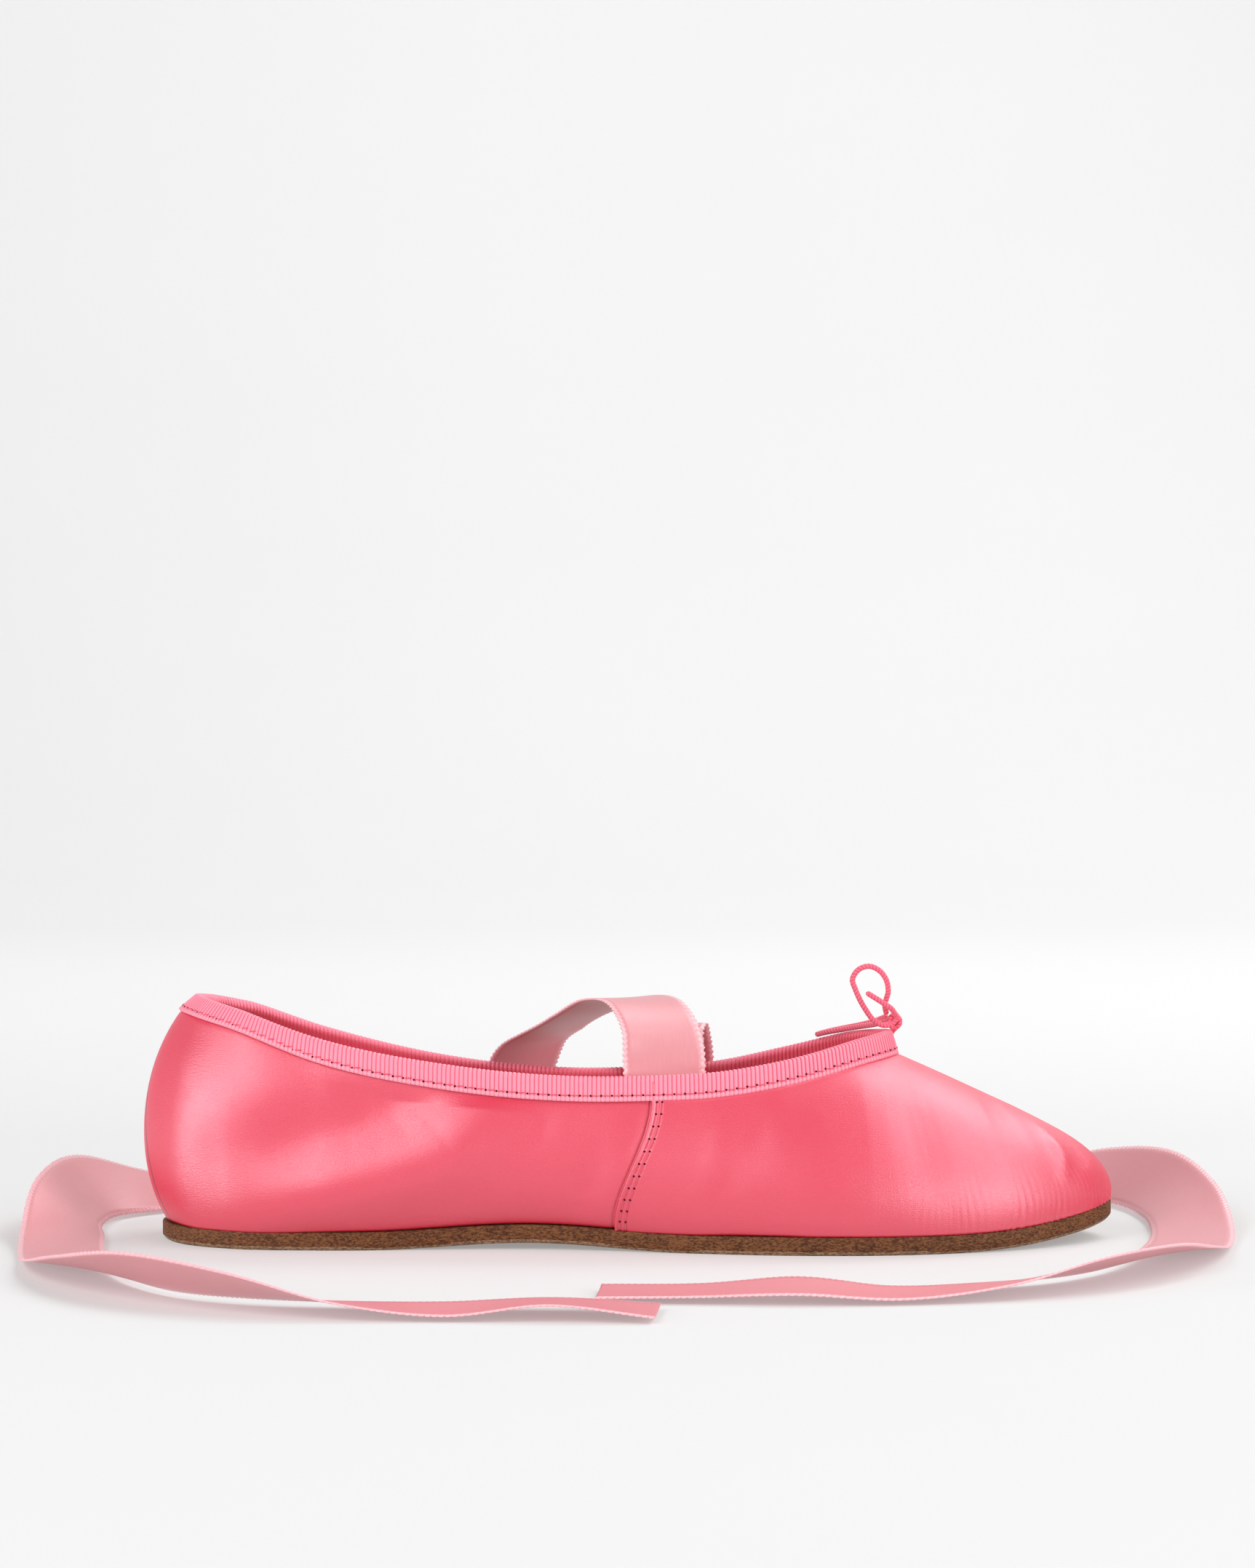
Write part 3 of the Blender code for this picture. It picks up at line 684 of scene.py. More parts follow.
PLEAT_DEPTH = 0.00021
PLEAT_REACH = 0.015


def spot_on_sheet(row, share):
    along = girth(row) if row <= FULL_TURN - SEAM_ROW else girth(row) - AROUND
    return np.array((along, share * wall_length(wall_curve(row % FULL_TURN))))


def read_all(items, key, size=1, kind=float):
    """One value, or one row of values, for every item of a mesh."""
    values = np.zeros(len(items) * size, kind)
    items.foreach_get(key, values)
    return values.reshape(-1, size) if size > 1 else values


def smooth_normals(mesh):
    """Normals eased over their neighbours, so that a fold or a lift moves the cloth evenly."""
    normal = np.array([point.vector for point in mesh.vertex_normals])
    first, second = read_all(mesh.edges, "vertices", 2, int).T
    for _ in range(NORMAL_ROUNDS):
        total = normal.copy()
        np.add.at(total, first, normal[second])
        np.add.at(total, second, normal[first])
        normal = total / np.linalg.norm(total, axis=1)[:, None]
    return normal


def crease_rise(spread, spots, width, depth):
    """Height of one crease at every point: a soft bell across its line that fades out at both ends."""
    spots = np.array([spot_on_sheet(*spot) for spot in spots])
    runs = np.diff(spots, axis=0)
    reaches = np.linalg.norm(runs, axis=1)
    away = np.full(len(spread), 9.0)
    share = np.zeros(len(spread))
    for index, (start, run, reach) in enumerate(zip(spots, runs, reaches)):
        along = np.clip((spread - start) @ run / reach ** 2, 0, 1)
        gap = np.linalg.norm(spread - start - along[:, None] * run, axis=1)
        nearer = gap < away
        away[nearer] = gap[nearer]
        share[nearer] = ((reaches[:index].sum() + along * reach) / reaches.sum())[nearer]
    fading = 1 - 0.6 * np.cos(pi * share) ** 4
    return depth / MM * fading * np.exp(-(away * MM / width) ** 2)


def press(piece, table, lift):
    """Move the piece's points along their normals by the creases and by an even lift."""
    mesh = piece.data
    place = read_all(mesh.vertices, "co", 3)
    spread = np.zeros((len(place), 2))
    spread[read_all(mesh.loops, "vertex_index", kind=int)] = read_all(mesh.uv_layers[0].data, "uv", 2)
    rise = lift(spread)
    tops = np.interp(spread[:, 0], WALL_TOPS[:, 0], WALL_TOPS[:, 1])
    under_tape = np.clip((tops - spread[:, 1]) / CREASE_START, 0, 1) if table else 0
    for width, depth, *spots in table:
        rise += crease_rise(spread, spots, width, depth) * under_tape
    place += smooth_normals(mesh) * rise[:, None]
    mesh.vertices.foreach_set("co", place.ravel())
    mesh.update()


def ease(piece, middle, reach, rounds):
    """Smooth the points round one place, where many columns of the grid run together."""
    mesh = bmesh.new()
    mesh.from_mesh(piece.data)
    near = [corner for corner in mesh.verts if (corner.co - middle).length < reach]
    for _ in range(rounds):
        bmesh.ops.smooth_vert(mesh, verts=near, factor=0.5, use_axis_x=True, use_axis_y=True,
                              use_axis_z=True)
    mesh.to_mesh(piece.data)
    mesh.free()


def thicken(piece, thickness, lined=0, offset=-1.0):
    wall = piece.modifiers.new("wall", 'SOLIDIFY')
    wall.thickness = thickness
    wall.offset = offset
    wall.material_offset = lined


TOP_ROWS = [row / 4 for row in range(-4 * SEAM_ROW - 2, 4 * (FULL_TURN - SEAM_ROW) + 1)]
WALL_TOPS = np.array([(girth(row), wall_length(wall_curve(row % FULL_TURN))) for row in TOP_ROWS])
print(len(CREASES), "creases")

# %% [markdown]
# ## The quarters
# One sheet wraps the heel from side seam to side seam. Its columns close up towards the seams, where the
# vamp covers it, and it is tucked a little way under the vamp so that no gap can show.

# %% Quarters
QUARTER_COLUMNS = 420
TUCK = 0.10
HOLLOW_DEPTH, HOLLOW_PLACE, HOLLOW_WIDTH = 0.00024, 0.0002, 0.00045
SEAM_START, SEAM_END = girth(SEAM_ROW), girth(FULL_TURN - SEAM_ROW)


def seam_hollow(spread):
    """The quarter sinks a little where the vamp's folded edge lies on it."""
    away = np.minimum(SEAM_START - spread[:, 0], spread[:, 0] - (SEAM_END - AROUND))
    return -HOLLOW_DEPTH * np.exp(-((away - HOLLOW_PLACE) / HOLLOW_WIDTH) ** 2)


quarters = lay_sheet("satin_quarters", QUARTER_COLUMNS, WALL_LIFTS + STAND_LIFTS,
                     upper_places(-SEAM_ROW - TUCK, SEAM_ROW + TUCK, QUARTER_COLUMNS))
press(quarters, CREASES, seam_hollow)
thicken(quarters, UPPER_WALL, lined=1)
settle(quarters, SATIN, LINING, slot="upper_satin")

# %% [markdown]
# ## The vamp
# The vamp's edge is folded under before it is stitched down, so it ends in a small roll and lies proud of
# the quarter. At the toe the satin is gathered under the sole, which leaves fine pleats. Both are raised
# along the normals of the same kind of grid, so they cost no pieces of their own.

# %% Vamp
VAMP_COLUMNS = 560
ROLL, ROLL_RISE = 0.0005, 0.00024
STITCH_ROWS, STITCH_SINK, STITCH_SPREAD = (0.0016, 0.0031), 0.00014, 0.0004
TOE_SPREAD = 0.05


def lap_lift(spread):
    """The vamp's edge stands over the quarter and rolls, its stitches sink and its toe is pleated."""
    inside = np.minimum(spread[:, 0] - SEAM_START, SEAM_END - spread[:, 0])
    turned = np.clip(inside / ROLL, 0, 1)
    rise = np.sqrt(turned * (2 - turned))
    roll = ROLL_RISE * np.exp(-((inside - ROLL) / ROLL) ** 2)
    dips = sum(np.exp(-((inside - away) / STITCH_SPREAD) ** 2) for away in STITCH_ROWS)
    near_toe = np.clip(1.6 - np.abs(spread[:, 0] - AROUND / 2) / TOE_SPREAD, 0, 1)
    wander = np.array([noise(Vector((along * 90, up * 60, 0))) for along, up in spread])
    pleat = np.cos(2 * pi * (spread[:, 0] / PLEAT_PITCH + 1.2 * wander)) * (0.6 + wander)
    low = np.exp(-(spread[:, 1] / PLEAT_REACH) ** 2)
    return VAMP_LAP * rise + roll - STITCH_SINK * dips + PLEAT_DEPTH * pleat * low * near_toe


vamp = lay_sheet("satin_vamp", VAMP_COLUMNS, WALL_LIFTS + STAND_LIFTS,
                 upper_places(SEAM_ROW, FULL_TURN - SEAM_ROW, VAMP_COLUMNS))
ease(vamp, ridge(TOE_ROW), 0.004, 12)
press(vamp, CREASES, lap_lift)
ease(vamp, ridge(TOE_ROW), 0.005, 20)
thicken(vamp, UPPER_WALL, lined=1)
settle(vamp, SATIN, LINING, slot="upper_satin", stands_for=("upper",))

# %% [markdown]
# ## Ribbed tape
# Grosgrain is woven with a thick weft, so it shows a rib every millimetre or so. It is folded over the raw
# edge and sewn through. A flat strip with a ribbed picture would look smooth at its edge, so the ribs are
# real relief, five points to a rib, and the strip dips where the stitches pull it down.

# %% Tape finish and shape
RIB_PITCH = 0.00115
TAPE_RISE = COLLAR_STAND + GAP
TAPE_OUT = GAP + TAPE_THICKNESS
TAPE_ACROSS = 24
STITCH_LINE, STITCH_DIP, DIP_WIDTH = 0.0015, 0.00010, 0.0005
RIB_TOP, RIB_DEPTH = 0.00013, 0.00024
TAPE_TOP = 0.0007

tape = Finish("ribbed_tape_cloth", 0.5, Sheen_Weight=0.15, Sheen_Roughness=0.45, Specular_IOR_Level=0.5)
tape_along, tape_up = tape.metres()
# painted shade: the tape is painted darker in the grooves between its ribs, in step with their relief
rib = tape.math('COSINE', tape.math('MULTIPLY', tape_along, 2 * pi / RIB_PITCH))
rib = tape.fade(rib, -1, 0.6)
rib_painted_shade_tone = tape.blend(rib, (0.68, 0.065, 0.125), (0.98, 0.285, 0.39))
hem_share = tape.fade(tape_up, 0.0012, 0.0007)
TAPE_SIDE = TAPE_RISE - 2 * GAP
TAPE_TURN = pi * (2 * GAP + TAPE_THICKNESS + UPPER_WALL) / 2
# painted shade: the inner half of the tape, inside the collar, is painted a darker red
inside_painted_shade = tape.fade(tape_up, TAPE_SIDE + TAPE_TURN * 0.5, TAPE_SIDE + TAPE_TURN * 1.2)
hem_tone = tape.blend(tape.math('MULTIPLY', hem_share, 0.45), rib_painted_shade_tone, (1.0, 0.40, 0.50))
tape.colour(tape.blend(tape.math('MULTIPLY', inside_painted_shade, 0.8), hem_tone, (0.85, 0.050, 0.10)))
tape.bump(tape.noise("UV", (5200, 5200, 1), detail=2), 0.00006, 0.5)


def even_collar(columns):
    """Row numbers that share the collar out evenly, so that every rib is as wide as the next."""
    fine = [COLLAR_TURN * step / 800 for step in range(801)]
    spots = [Vector(COLLAR_LINE.read(number)[:3]) for number in fine]
    places = run_of(spots)
    wanted = np.linspace(0, places[-1], columns + 1)
    return np.interp(wanted, places, fine), places[-1]


def tape_section(share):
    """Middle line of the folded tape at a share of its width: aside, above the collar line, and run."""
    outer = GAP + TAPE_THICKNESS / 2
    inner = -(UPPER_WALL + GAP + TAPE_THICKNESS / 2)
    middle, radius = (outer + inner) / 2, (outer - inner) / 2
    run = share * (2 * TAPE_SIDE + TAPE_TURN)
    if run < TAPE_SIDE:
        return outer, 2 * GAP + run, run
    if run < TAPE_SIDE + TAPE_TURN:
        angle = (run - TAPE_SIDE) / radius
        return middle + radius * cos(angle), TAPE_RISE + TAPE_TOP * sin(angle), run
    return inner, 2 * GAP + (2 * TAPE_SIDE + TAPE_TURN - run), run


_, COLLAR_LENGTH = even_collar(1)
RIBS = round(COLLAR_LENGTH / RIB_PITCH)
TAPE_COLUMNS = RIBS * 5
tape_numbers, _ = even_collar(TAPE_COLUMNS)
print(RIBS, "ribs round", round(COLLAR_LENGTH * MM), "mm of collar")


def collar_frame(at):
    return stand_frame(min(at if at <= THROAT_ROW else at - COLLAR_TURN + FULL_TURN, FULL_TURN))


tape_frames = [collar_frame(at) for at in tape_numbers]


def tape_place(column, row):
    foot, up, out = tape_frames[column]
    aside, above, run = tape_section(row / TAPE_ACROSS)
    along = COLLAR_LENGTH * column / TAPE_COLUMNS
    return foot + out * aside + up * above, (along, run)


def rib_lift(spread):
    rib_wave = 0.5 - 0.5 * np.cos(2 * pi * spread[:, 0] * RIBS / COLLAR_LENGTH)
    lower = np.exp(-((spread[:, 1] - STITCH_LINE) / DIP_WIDTH) ** 2)
    return RIB_TOP - RIB_DEPTH * rib_wave - STITCH_DIP * lower


tape_piece = lay_sheet("ribbed_collar_tape", TAPE_COLUMNS, TAPE_ACROSS, tape_place)
press(tape_piece, (), rib_lift)
thicken(tape_piece, TAPE_THICKNESS - 0.0001, offset=0.0)
settle(tape_piece, tape.material, slot="ribbed_tape", stands_for=("collar_binding",))

# %% [markdown]
# ## Leather sole
# A light flat shoe has one cut leather sole. Its edge is sanded and stained, so it shows a fine crumbly
# grain, with a paler pared corner below. The sheet runs from the middle of the underside out, up and back
# in.


# %% Sole
def make_leather(name, dark, light, roughness):
    hide = Finish(name, roughness, Specular_IOR_Level=0.2)
    crumb = hide.noise("Object", (1, 1, 2.2), size=1050, detail=3, rough=0.7)
    cloud = hide.noise("Object", size=160, detail=3)
    mixed = hide.math('ADD', hide.math('MULTIPLY', crumb, 0.85), hide.math('MULTIPLY', cloud, 0.15))
    hide.colour(hide.blend(hide.fade(mixed, 0.42, 0.58), dark, light))
    hide.bump(crumb, 0.00018, 0.8)
    return hide.material


SOLE_DARK, SOLE_LIGHT = (0.062, 0.019, 0.008), (0.198, 0.077, 0.027)
SOLE_EDGE = make_leather("sole_edge_leather", SOLE_DARK, SOLE_LIGHT, 0.58)
PARED = make_leather("pared_leather", (0.14, 0.07, 0.04), (0.36, 0.22, 0.13), 0.7)
SUEDE = make_leather("underside_leather", (0.20, 0.12, 0.08), (0.40, 0.27, 0.19), 0.85)

SOLE_COLUMNS = 560
SOLE_BEVEL = 0.0011
SOLE_CORNER = 0.0004
SOLE_EDGE_ROWS = [
    # inset of the edge, height above the underside
    (0.0007, 0.0003), (0.0003, 0.0007), (0.0, SOLE_BEVEL), (0.0, 0.0020), (0.0, 0.0032),
    (0.0, SOLE_THICKNESS - SOLE_CORNER), (0.00012, SOLE_THICKNESS - 0.00012),
]
# a row of a section is the share from the middle line to the edge, the inset of that edge and the height
SOLE_SECTION = ([(share, SOLE_BEVEL, 0.0) for share in (0.0, 0.3, 0.6, 0.9, 1.0)]
                + [(1.0, inset, above) for inset, above in SOLE_EDGE_ROWS]
                + [(share, SOLE_CORNER, SOLE_THICKNESS) for share in (1.0, 0.9, 0.6, 0.3, 0.0)])


def layer_places(section, columns, base):
    """Places of a flat layer whose section runs from the middle line out to the edge and back."""
    edges = {}

    def edge(column, inset):
        key = (column, inset)
        if key not in edges:
            edges[key] = outline(FULL_TURN * column / columns % FULL_TURN, inset)
        return edges[key]

    def place(column, row):
        share, inset, above = section[row]
        rim = edge(column, inset)
        across = edge(columns - column, inset)
        point = (rim + across) / 2 * (1 - share) + rim * share
        point.z = base(point.x) + above
        return point, (column / columns * AROUND, row * 0.001)

    return place


sole = lay_sheet("leather_sole", SOLE_COLUMNS, len(SOLE_SECTION) - 1,
                 layer_places(SOLE_SECTION, SOLE_COLUMNS, sole_bottom), closed=True)
settle(sole, SOLE_EDGE, PARED, SUEDE, slot="sole_leather", stands_for=("outsole",))
for face in sole.data.polygons:
    height = face.center.z - sole_bottom(face.center.x)
    if height < 0.0001:
        face.material_index = 2
    elif height < 0.0009:
        face.material_index = 1
print("sole edge", SOLE_THICKNESS * MM, "mm")

# %% [markdown]
# ## Sock
# The sock is a thin sheet glued over the sole inside. It is plain soft leather here, cut a little smaller
# than the room inside the upper, and its top edge is rounded. It is laid like the sole, with a section of
# its own.

# %% Sock
SOCK = make_leather("sock_leather", (0.50, 0.36, 0.28), (0.70, 0.54, 0.44), 0.72)
SOCK_INSET = SOLE_MARGIN + UPPER_WALL + INSOLE_CLEARANCE
SOCK_LOW, SOCK_TOP = SOLE_THICKNESS + GAP, SOLE_THICKNESS + GAP + INSOLE_THICKNESS
SOCK_ROUND = 0.0007
SOCK_SECTION = ([(share, SOCK_INSET, SOCK_LOW) for share in (0.0, 0.7, 1.0)]
                + [(1.0, SOCK_INSET, SOCK_TOP - 0.0006), (1.0, SOCK_INSET + 0.0002, SOCK_TOP - 0.0002)]
                + [(share, SOCK_INSET + SOCK_ROUND, SOCK_TOP) for share in (1.0, 0.9, 0.7, 0.5, 0.25, 0.0)])
sock = lay_sheet("sock_lining", SOLE_COLUMNS // 2, len(SOCK_SECTION) - 1,
                 layer_places(SOCK_SECTION, SOLE_COLUMNS // 2, sole_bottom), closed=True)
settle(sock, SOCK, slot="sock_lining", stands_for=("insole",))

# %% [markdown]
# ## Ankle ribbons
# Two ribbons of 22 mm satin are sewn inside the quarters. Each comes up out of the collar, falls over the
# edge and lies round the shoe in a loose bend. A simulation would settle them differently in every run, so
# each follows a short table of places and leans.

# %% Ribbon routes
RIBBON_WIDTH = 0.022
RIBBON_THICKNESS = 0.0005
PICOT_PITCH = 0.0016
PICOT_REACH = 0.0003
LATERAL_RIBBON = [
    # x, y and z in millimetres, lean of the width in degrees
    (9.7, -27.6, 27.0, 0), (9.7, -26.3, 38.0, 0), (9.6, -24.7, 46.0, 0), (8.8, -21.0, 56.0, 0),
    (5.0, -12.0, 62.5, 0), (-3.0, 2.0, 63.0, 0), (-12.5, 15.0, 57.5, 2), (-20.5, 24.5, 52.2, 2),
    (-25.8, 32.0, 48.0, 2), (-29.5, 38.5, 39.5, 1), (-32.0, 42.5, 26.0, 0), (-34.0, 46.0, 12.5, 0),
    (-38.0, 52.0, 4.2, 10), (-48.0, 64.0, 8.8, 45), (-65.0, 72.0, 9.5, 52), (-87.0, 72.0, 4.5, 18),
    (-110.0, 66.0, 1.8, 3), (-131.0, 54.0, 5.5, 26), (-145.0, 35.0, 9.0, 46), (-149.5, 11.0, 7.8, 38),
    (-148.0, -15.0, 3.2, 10), (-145.0, -42.0, 1.4, 0), (-140.0, -69.0, 2.6, 6), (-130.0, -94.0, 5.0, 20),
    (-114.0, -115.0, 7.0, 32), (-92.0, -129.0, 6.0, 25), (-68.0, -135.0, 2.8, 8), (-43.0, -136.5, 1.4, 0),
    (-18.0, -137.0, 3.2, 4), (7.0, -139.0, 1.4, 0),
]
MEDIAL_RIBBON = [
    # x, y and z in millimetres, lean of the width in degrees
    (9.7, 21.6, 25.0, 0), (9.7, 22.1, 35.0, 0), (9.7, 22.6, 42.5, 0), (9.8, 23.6, 48.0, 0),
    (10.2, 25.8, 52.6, 0), (11.2, 29.5, 54.0, 0), (12.6, 34.2, 49.0, 0), (14.2, 38.2, 38.0, 0),
    (16.2, 42.0, 23.0, 0), (19.0, 47.2, 10.5, 0), (24.0, 58.0, 3.7, 0), (33.0, 74.0, 3.4, -10),
    (43.0, 92.0, 8.0, -40), (62.0, 106.0, 8.5, -45), (86.0, 108.0, 4.5, -18), (109.0, 98.0, 3.4, -12),
    (130.0, 80.0, 7.0, -34), (144.0, 56.0, 8.5, -42), (150.0, 29.0, 6.0, -26), (150.0, 1.0, 2.4, -6),
    (146.0, -26.0, 1.4, 0), (139.0, -51.0, 3.2, -8), (128.0, -74.0, 5.0, -20), (111.0, -93.0, 5.0, -20),
    (89.0, -105.0, 2.6, -7), (65.0, -111.0, 1.4, 0), (41.0, -112.0, 3.2, 3), (17.0, -110.0, 1.8, 0),
    (-7.0, -108.5, 1.4, 0),
]


def make_ribbon_satin():
    cloth = Finish("ribbon_satin_cloth", 0.36, Anisotropic=0.4, Specular_IOR_Level=0.6)
    _, up = cloth.metres()
    edge = cloth.math('ABSOLUTE', cloth.math('SUBTRACT', up, RIBBON_WIDTH / 2))
    rim = cloth.fade(edge, 0.0098, 0.0104)
    threads = cloth.noise("UV", (160, 6500, 1), detail=2, rough=0.6)
    cross = cloth.noise("UV", (2400, 500, 1), detail=1)
    body = cloth.blend(threads, (0.69, 0.25, 0.28), (0.79, 0.34, 0.37))
    cloth.colour(cloth.blend(rim, body, (0.95, 0.52, 0.56)))
    grain = cloth.math('ADD', cloth.math('MULTIPLY', threads, 0.6), cloth.math('MULTIPLY', cross, 0.4))
    cloth.bump(grain, 0.00006, 0.6)
    return cloth.material


RIBBON = make_ribbon_satin()


def smooth_route(route, count):
    rows = np.array(route)
    places = run_along(np.linalg.norm(np.diff(rows[:, :3], axis=0), axis=1))
    return [track(places, rows, places[-1] * step / (count - 1)) for step in range(count)]


def lay_ribbon(name, route, node):
    """A looped-edge ribbon whose width stays level, or leans as the route's table says."""
    rows = smooth_route([(x / MM, y / MM, z / MM, lean) for x, y, z, lean in route], 1200)
    spots = [Vector(row[:3]) for row in rows]
    places = run_of(spots)
    columns, across = len(rows) - 1, 10

    def place(column, row):
        spot, lean = spots[column], radians(rows[column][3])
        ahead = (spots[min(column + 1, columns)] - spots[max(column - 1, 0)]).normalized()
        level = Vector((ahead.y, -ahead.x, 0)).normalized()
        side = level * cos(lean) + level.cross(ahead) * sin(lean)
        share = 2 * row / across - 1
        scallop = PICOT_REACH * cos(2 * pi * places[column] / PICOT_PITCH) if abs(share) == 1 else 0
        half = RIBBON_WIDTH / 2 - PICOT_REACH
        reach = half * share + (scallop if share > 0 else -scallop)
        cup = 0.0003 * (share * share - 0.4)
        point = spot + side * reach + side.cross(ahead) * cup
        return point, (places[column], RIBBON_WIDTH * row / across)

    piece = lay_sheet(name, columns, across, place)
    thicken(piece, RIBBON_THICKNESS, offset=0.0)
    settle(piece, RIBBON, slot="ribbon_satin", stands_for=(node,))
    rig.cord(piece, exit=spots[0], length=places[-1], diameter=RIBBON_WIDTH, far_end="bare", stiffness="limp",
            lay="loose", path=spots[::12] + [spots[-1]])
    print(name, round(places[-1], 3), "m long")


# %% Ribbons
lay_ribbon("lateral_ankle_ribbon", LATERAL_RIBBON, "ribbon_lateral")
lay_ribbon("medial_ankle_ribbon", MEDIAL_RIBBON, "ribbon_medial")

# %% [markdown]
# ## Bow
# The drawstring that runs inside the tape comes out at the throat and is tied in a small bow. The cord is a
# round braid 1.5 mm thick, so its tube carries the shallow slanting grooves of its strands. Its loops are
# routes through a few places, which is simpler to shape than a curve object.

# %% Cord finish
BOW_CORD = 0.0015
CORD_AROUND, CORD_TIP = 14, 0.0009
BOW_KNOT = 0.0046
KNOT_SEAT = 0.65
BRAID_PITCH = 0.0009

braid = Finish("bow_cord_cloth", 0.6, Sheen_Weight=0.4, Sheen_Roughness=0.5, Specular_IOR_Level=0.3)
braid_along, braid_round = braid.metres()
# painted shade: the cord is painted darker along the slanting grooves between its strands, in step with the tube's
# grooves
slant = braid.math('ADD', braid.math('MULTIPLY', braid_along, 2 * pi / BRAID_PITCH),
                   braid.math('MULTIPLY', braid_round, 4 * pi))
braid_groove_painted_shade = braid.fade(braid.math('SINE', slant), -0.9, 0.5)
braid.colour(braid.blend(braid_groove_painted_shade, (0.72, 0.075, 0.135), (0.92, 0.17, 0.26)))
braid.bump(braid.noise("UV", (9000, 60, 1), detail=2), 0.00005, 0.5)

# %% Cord shape
BOW_ROUTES = {
    # millimetres from the middle of the knot
    "lateral": [
        (-2.1, -0.9, 1.8), (-2.6, -1.8, 4.5), (-1.8, -2.6, 8.4), (-2.4, -3.2, 11.4), (-4.3, -3.6, 13.9),
        (-7.0, -3.8, 15.0), (-9.7, -3.8, 14.1), (-11.3, -3.6, 11.4), (-10.5, -3.4, 8.8),
        (-7.9, -3.0, 3.6), (-5.4, -2.5, 0.4), (-3.0, -1.9, -0.8), (-0.6, -1.0, -0.4), (0.6, -1.0, 1.4),
        (0.0, -1.9, 2.3), (-1.0, -3.4, 3.7), (-3.4, -4.4, 5.4), (-7.8, -4.8, 8.2),
    ],
    "medial": [
        (-1.8, 3.0, 1.2), (-4.8, 8.6, -0.6), (-8.2, 13.4, -2.0), (-12.4, 17.0, -3.2), (-16.8, 19.6, -4.4),
        (-19.6, 17.8, -5.0), (-17.2, 15.2, -4.2), (-13.0, 12.6, -3.2), (-9.0, 9.2, -2.2),
        (-5.2, 4.8, -1.2), (-2.3, 1.6, -0.2), (-0.2, 0.8, 0.4), (1.4, 2.6, -0.6), (1.2, 5.6, -1.6),
        (-0.2, 8.6, -3.6), (-1.2, 11.0, -7.2),
    ],
}
KNOT_ROUTE = [
    # one and a half turns round the crossing, in the bow's own frame
    (cos(angle) * 1.4, 0.7 - 1.4 * turn, sin(angle) * 1.5)
    for turn, angle in ((step / 30, 3.3 * pi * step / 30 + 0.6) for step in range(31))
]


def knot_middle():
    foot, up, out = stand_frame(THROAT_ROW)
    radius = BOW_KNOT / 2
    return foot + up * (COLLAR_STAND + TAPE_THICKNESS + GAP * 2 + radius * KNOT_SEAT) + out * radius


def lay_cord(name, route, columns):
    """A braided tube along a route, with ends that close in a soft tip."""
    rows = smooth_route([tuple(knot_middle() + Vector(row) / MM) for row in route], columns + 1)
    spots = [Vector(row) for row in rows]
    places = run_of(spots)
    frames = []
    side = Vector((0, 0, 1))
    for index in range(columns + 1):
        ahead = (spots[min(index + 1, columns)] - spots[max(index - 1, 0)]).normalized()
        side = (side - ahead * side.dot(ahead)).normalized()
        frames.append((side.copy(), ahead.cross(side)))

    def place(column, row):
        along = places[column]
        to_end = min(along, places[-1] - along) / CORD_TIP
        closing = 1 if to_end >= 1 else (1 - (1 - to_end) ** 2) ** 0.5
        angle = 2 * pi * row / CORD_AROUND
        groove = sin(2 * pi * along / BRAID_PITCH + 2 * angle)
        radius = BOW_CORD / 2 * closing * (0.975 + 0.025 * groove)
        first, second = frames[column]
        point = spots[column] + (first * cos(angle) - second * sin(angle)) * radius
        return point, (along, row / CORD_AROUND)

    piece = lay_sheet(name, columns, CORD_AROUND, place, closed=True)
    return piece, spots, places[-1]


# %% Bow
wrap, _, _ = lay_cord("bow_knot_wrap", KNOT_ROUTE, 90)
settle(wrap, braid.material, slot="bow_cord", stands_for=("bow_knot",))
for side, route in BOW_ROUTES.items():
    strand, line, length = lay_cord("bow_strand_" + side, route, 260)
    settle(strand, braid.material, slot="bow_cord", stands_for=("bow_loop_" + side, "bow_end_" + side))
    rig.cord(strand, exit=line[0], length=length, diameter=BOW_CORD, far_end="bare", stiffness="medium",
            lay="loose", path=line, with_pieces=[wrap] if side == "lateral" else [])
    print(side, "strand", round(length * MM, 1), "mm")

# %% [markdown]
# ## Stitches
# Two rows hold the side seam and one row holds the tape. Each stitch is a short bead of thread sunk into
# the cloth between two needle holes, placed by measuring along the seam; each hole is a small dark bead of
# painted shade. A bead of few faces is enough, because there are hundreds of them.

# %% Stitch finishes
thread = Finish("seam_thread", 0.6, Sheen_Weight=0.3, Specular_IOR_Level=0.3)
twist = thread.noise("Object", size=4200, detail=1)
thread.colour(thread.blend(twist, (0.62, 0.05, 0.10), (0.88, 0.12, 0.20)))
thread.bump(twist, 0.00008, 0.6)
# painted shade: each needle hole is a small dark bead, with a faint mottle, standing for the shade inside the hole
holes = Finish("needle_holes_painted_shade", 0.9, Specular_IOR_Level=0.1)
hole_shade_mottle = holes.noise("Object", size=900)
holes.colour(holes.blend(hole_shade_mottle, (0.07, 0.004, 0.012), (0.13, 0.008, 0.020)))
THREAD, PAINTED_HOLE_SHADE = thread.material, holes.material

# %% Sewing
SEAM_STITCH, SEAM_THREAD = 0.0032, 0.00026
TAPE_STITCH, TAPE_THREAD = 0.0027, 0.00036
HOLE_SIZE = (0.00030, 0.00030, 0.00009)
THREAD_SINK, THREAD_RISE = 0.00004, 0.00002


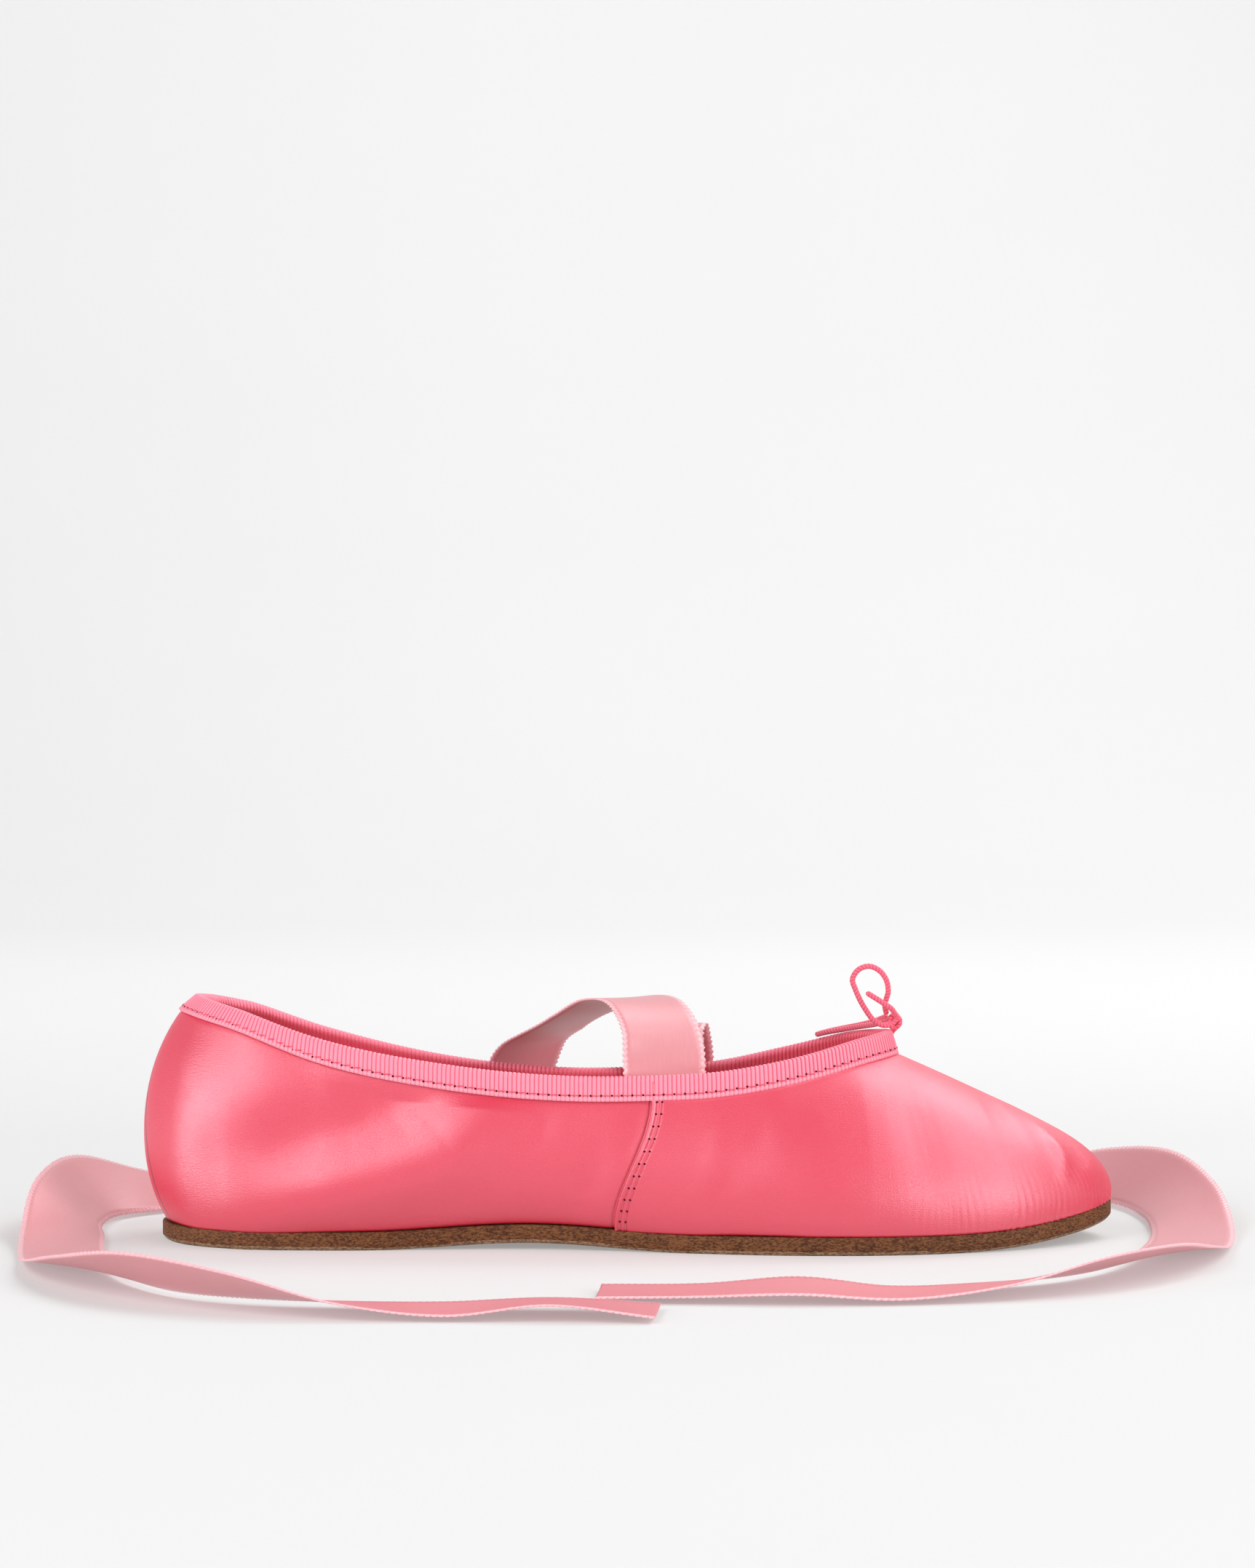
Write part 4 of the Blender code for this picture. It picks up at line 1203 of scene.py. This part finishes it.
def sew(name, stitches, thickness, slot):
    """Beads of thread with dark beads of painted shade for the holes between; a stitch is its middle, direction,
    normal and length.
    """
    mesh = bpy.data.meshes.new(name)
    row = bmesh.new()
    for middle, along, normal, length in stitches:
        across = normal.cross(along).normalized()
        for is_hole, spot in ((False, middle), (True, middle + along * length * 0.5)):
            made = bmesh.ops.create_uvsphere(row, u_segments=8, v_segments=6, radius=1)
            half = HOLE_SIZE if is_hole else (length * 0.40, thickness / 2, thickness / 2)
            for corner in made["verts"]:
                x, y, z = corner.co
                corner.co = spot + along * (x * half[0]) + across * (y * half[1]) + normal * (z * half[2])
            for face in {face for corner in made["verts"] for face in corner.link_faces}:
                face.material_index = int(is_hole)
                face.smooth = True
    bmesh.ops.recalc_face_normals(row, faces=row.faces)
    row.to_mesh(mesh)
    row.free()
    settle(add_object(name, mesh), THREAD, PAINTED_HOLE_SHADE, slot=slot)
    print(name, len(stitches), "stitches")


def seam_stitches():
    made = []
    for start, ahead in ((SEAM_ROW, 1), (FULL_TURN - SEAM_ROW, -1)):
        for away in STITCH_ROWS:
            number = start + ahead * away / abs(girth(start + 0.5) - girth(start - 0.5))
            curve = wall_curve(number)
            length = wall_length(curve)
            count = int(length / SEAM_STITCH)
            for step in range(count):
                share = (step + 0.5) / count
                low, spot, high = (wall_point(curve, share + move) for move in (-0.01, 0, 0.01))
                along = (high - low).normalized()
                beside = wall_point(wall_curve(number + 0.02), share) - spot
                normal = beside.cross(along).normalized()
                made.append((spot + normal * (VAMP_LAP - THREAD_SINK), along, normal, SEAM_STITCH))
    return made


def tape_stitches():
    made = []
    count = round(COLLAR_LENGTH / TAPE_STITCH)
    for step in range(count):
        foot, up, out = tape_frames[round(step / count * TAPE_COLUMNS)]
        middle = foot + out * (TAPE_OUT + THREAD_RISE) + up * (2 * GAP + STITCH_LINE)
        made.append((middle, out.cross(up), out, TAPE_STITCH))
    return made


# %% Stitch rows
sew("side_seam_stitches", seam_stitches(), SEAM_THREAD, "upper_satin")
sew("tape_stitches", tape_stitches(), TAPE_THREAD, "ribbed_tape")

# %% [markdown]
# ## Floor and light
# The shoe stands on a pale seamless sweep: a floor that curves up behind it. Satin shows the shape of every
# lamp, so the light comes from several soft squares on both sides, above and behind, and the paper glows a
# little, which keeps the shadow close under the shoe and faint.

# %% Sweep
SWEEP_WIDTH = 16.0
SWEEP_SECTION = [(-8.0, 0.0), (1.2, 0.0)] + [
    (1.2 + 0.9 * sin(radians(angle)), 0.9 - 0.9 * cos(radians(angle))) for angle in range(10, 91, 10)
] + [(2.1, 4.0)]


def sweep_place(column, row):
    y, z = SWEEP_SECTION[row]
    return Vector((SWEEP_WIDTH * (column / 8 - 0.5), y, z)), (column, row)


sweep = lay_sheet("sweep", 8, len(SWEEP_SECTION) - 1, sweep_place)
paper = Finish("paper", 0.95, Specular_IOR_Level=0.1, Emission_Color=(1, 1, 1, 1), Emission_Strength=0.265)
paper.colour(paper.blend(paper.noise("Object", size=3), (0.53, 0.53, 0.53), (0.55, 0.55, 0.55)))
sweep.data.materials.append(paper.material)
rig.stage(sweep)

# %% [markdown]
# Each lamp is a square of light aimed at the shoe, and one washes the paper behind it. A faint even world
# light fills the rest, because a studio has white walls.

# %% Lamps
SHOE, WALL = (0, 0, 0.02), (0, 2.1, 1.2)
LAMPS = [
    # name, place, size, watts, aim
    ("left_low", (-1.85, -0.67, 0.35), 0.6, 13.5, SHOE),
    ("left_high", (-1.08, -1.08, 1.29), 0.9, 14.0, SHOE),
    ("front_left", (-0.88, -1.66, 0.68), 0.9, 5.5, SHOE),
    ("right_low", (1.39, -1.39, 0.37), 0.6, 11.5, SHOE),
    ("right_middle", (1.57, -0.91, 0.85), 0.9, 9.0, SHOE),
    ("right_high", (1.24, -0.33, 1.53), 0.9, 9.5, SHOE),
    ("behind", (0.80, 0.82, 1.50), 1.0, 14.0, SHOE),
    ("wall_wash", (0.0, 0.5, 1.5), 1.4, 14.0, WALL),
]
for name, place, size, watts, aim in LAMPS:
    data = bpy.data.lights.new(name, 'AREA')
    data.shape = 'SQUARE'
    data.size = size
    data.energy = watts
    lamp = add_object(name, data)
    lamp.location = place
    lamp.rotation_euler = (Vector(aim) - lamp.location).to_track_quat('-Z', 'Y').to_euler()
world = bpy.data.worlds.new("studio")
world.use_nodes = True
world.node_tree.nodes["Background"].inputs["Color"].default_value = (1, 1, 1, 1)
world.node_tree.nodes["Background"].inputs["Strength"].default_value = 0.12
bpy.context.scene.world = world
bpy.context.scene.view_settings.view_transform = 'Standard'
print(len(LAMPS), "lamps")

# %% [markdown]
# The box of the finished shoe is noted beside the box of its solids.

# %% Size and finish
with open("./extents.json", "w") as file:
    sizes = {"cad": cad_box, "visual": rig.bounds()}
    json.dump({name: [list(corner) for corner in corners] for name, corners in sizes.items()}, file)
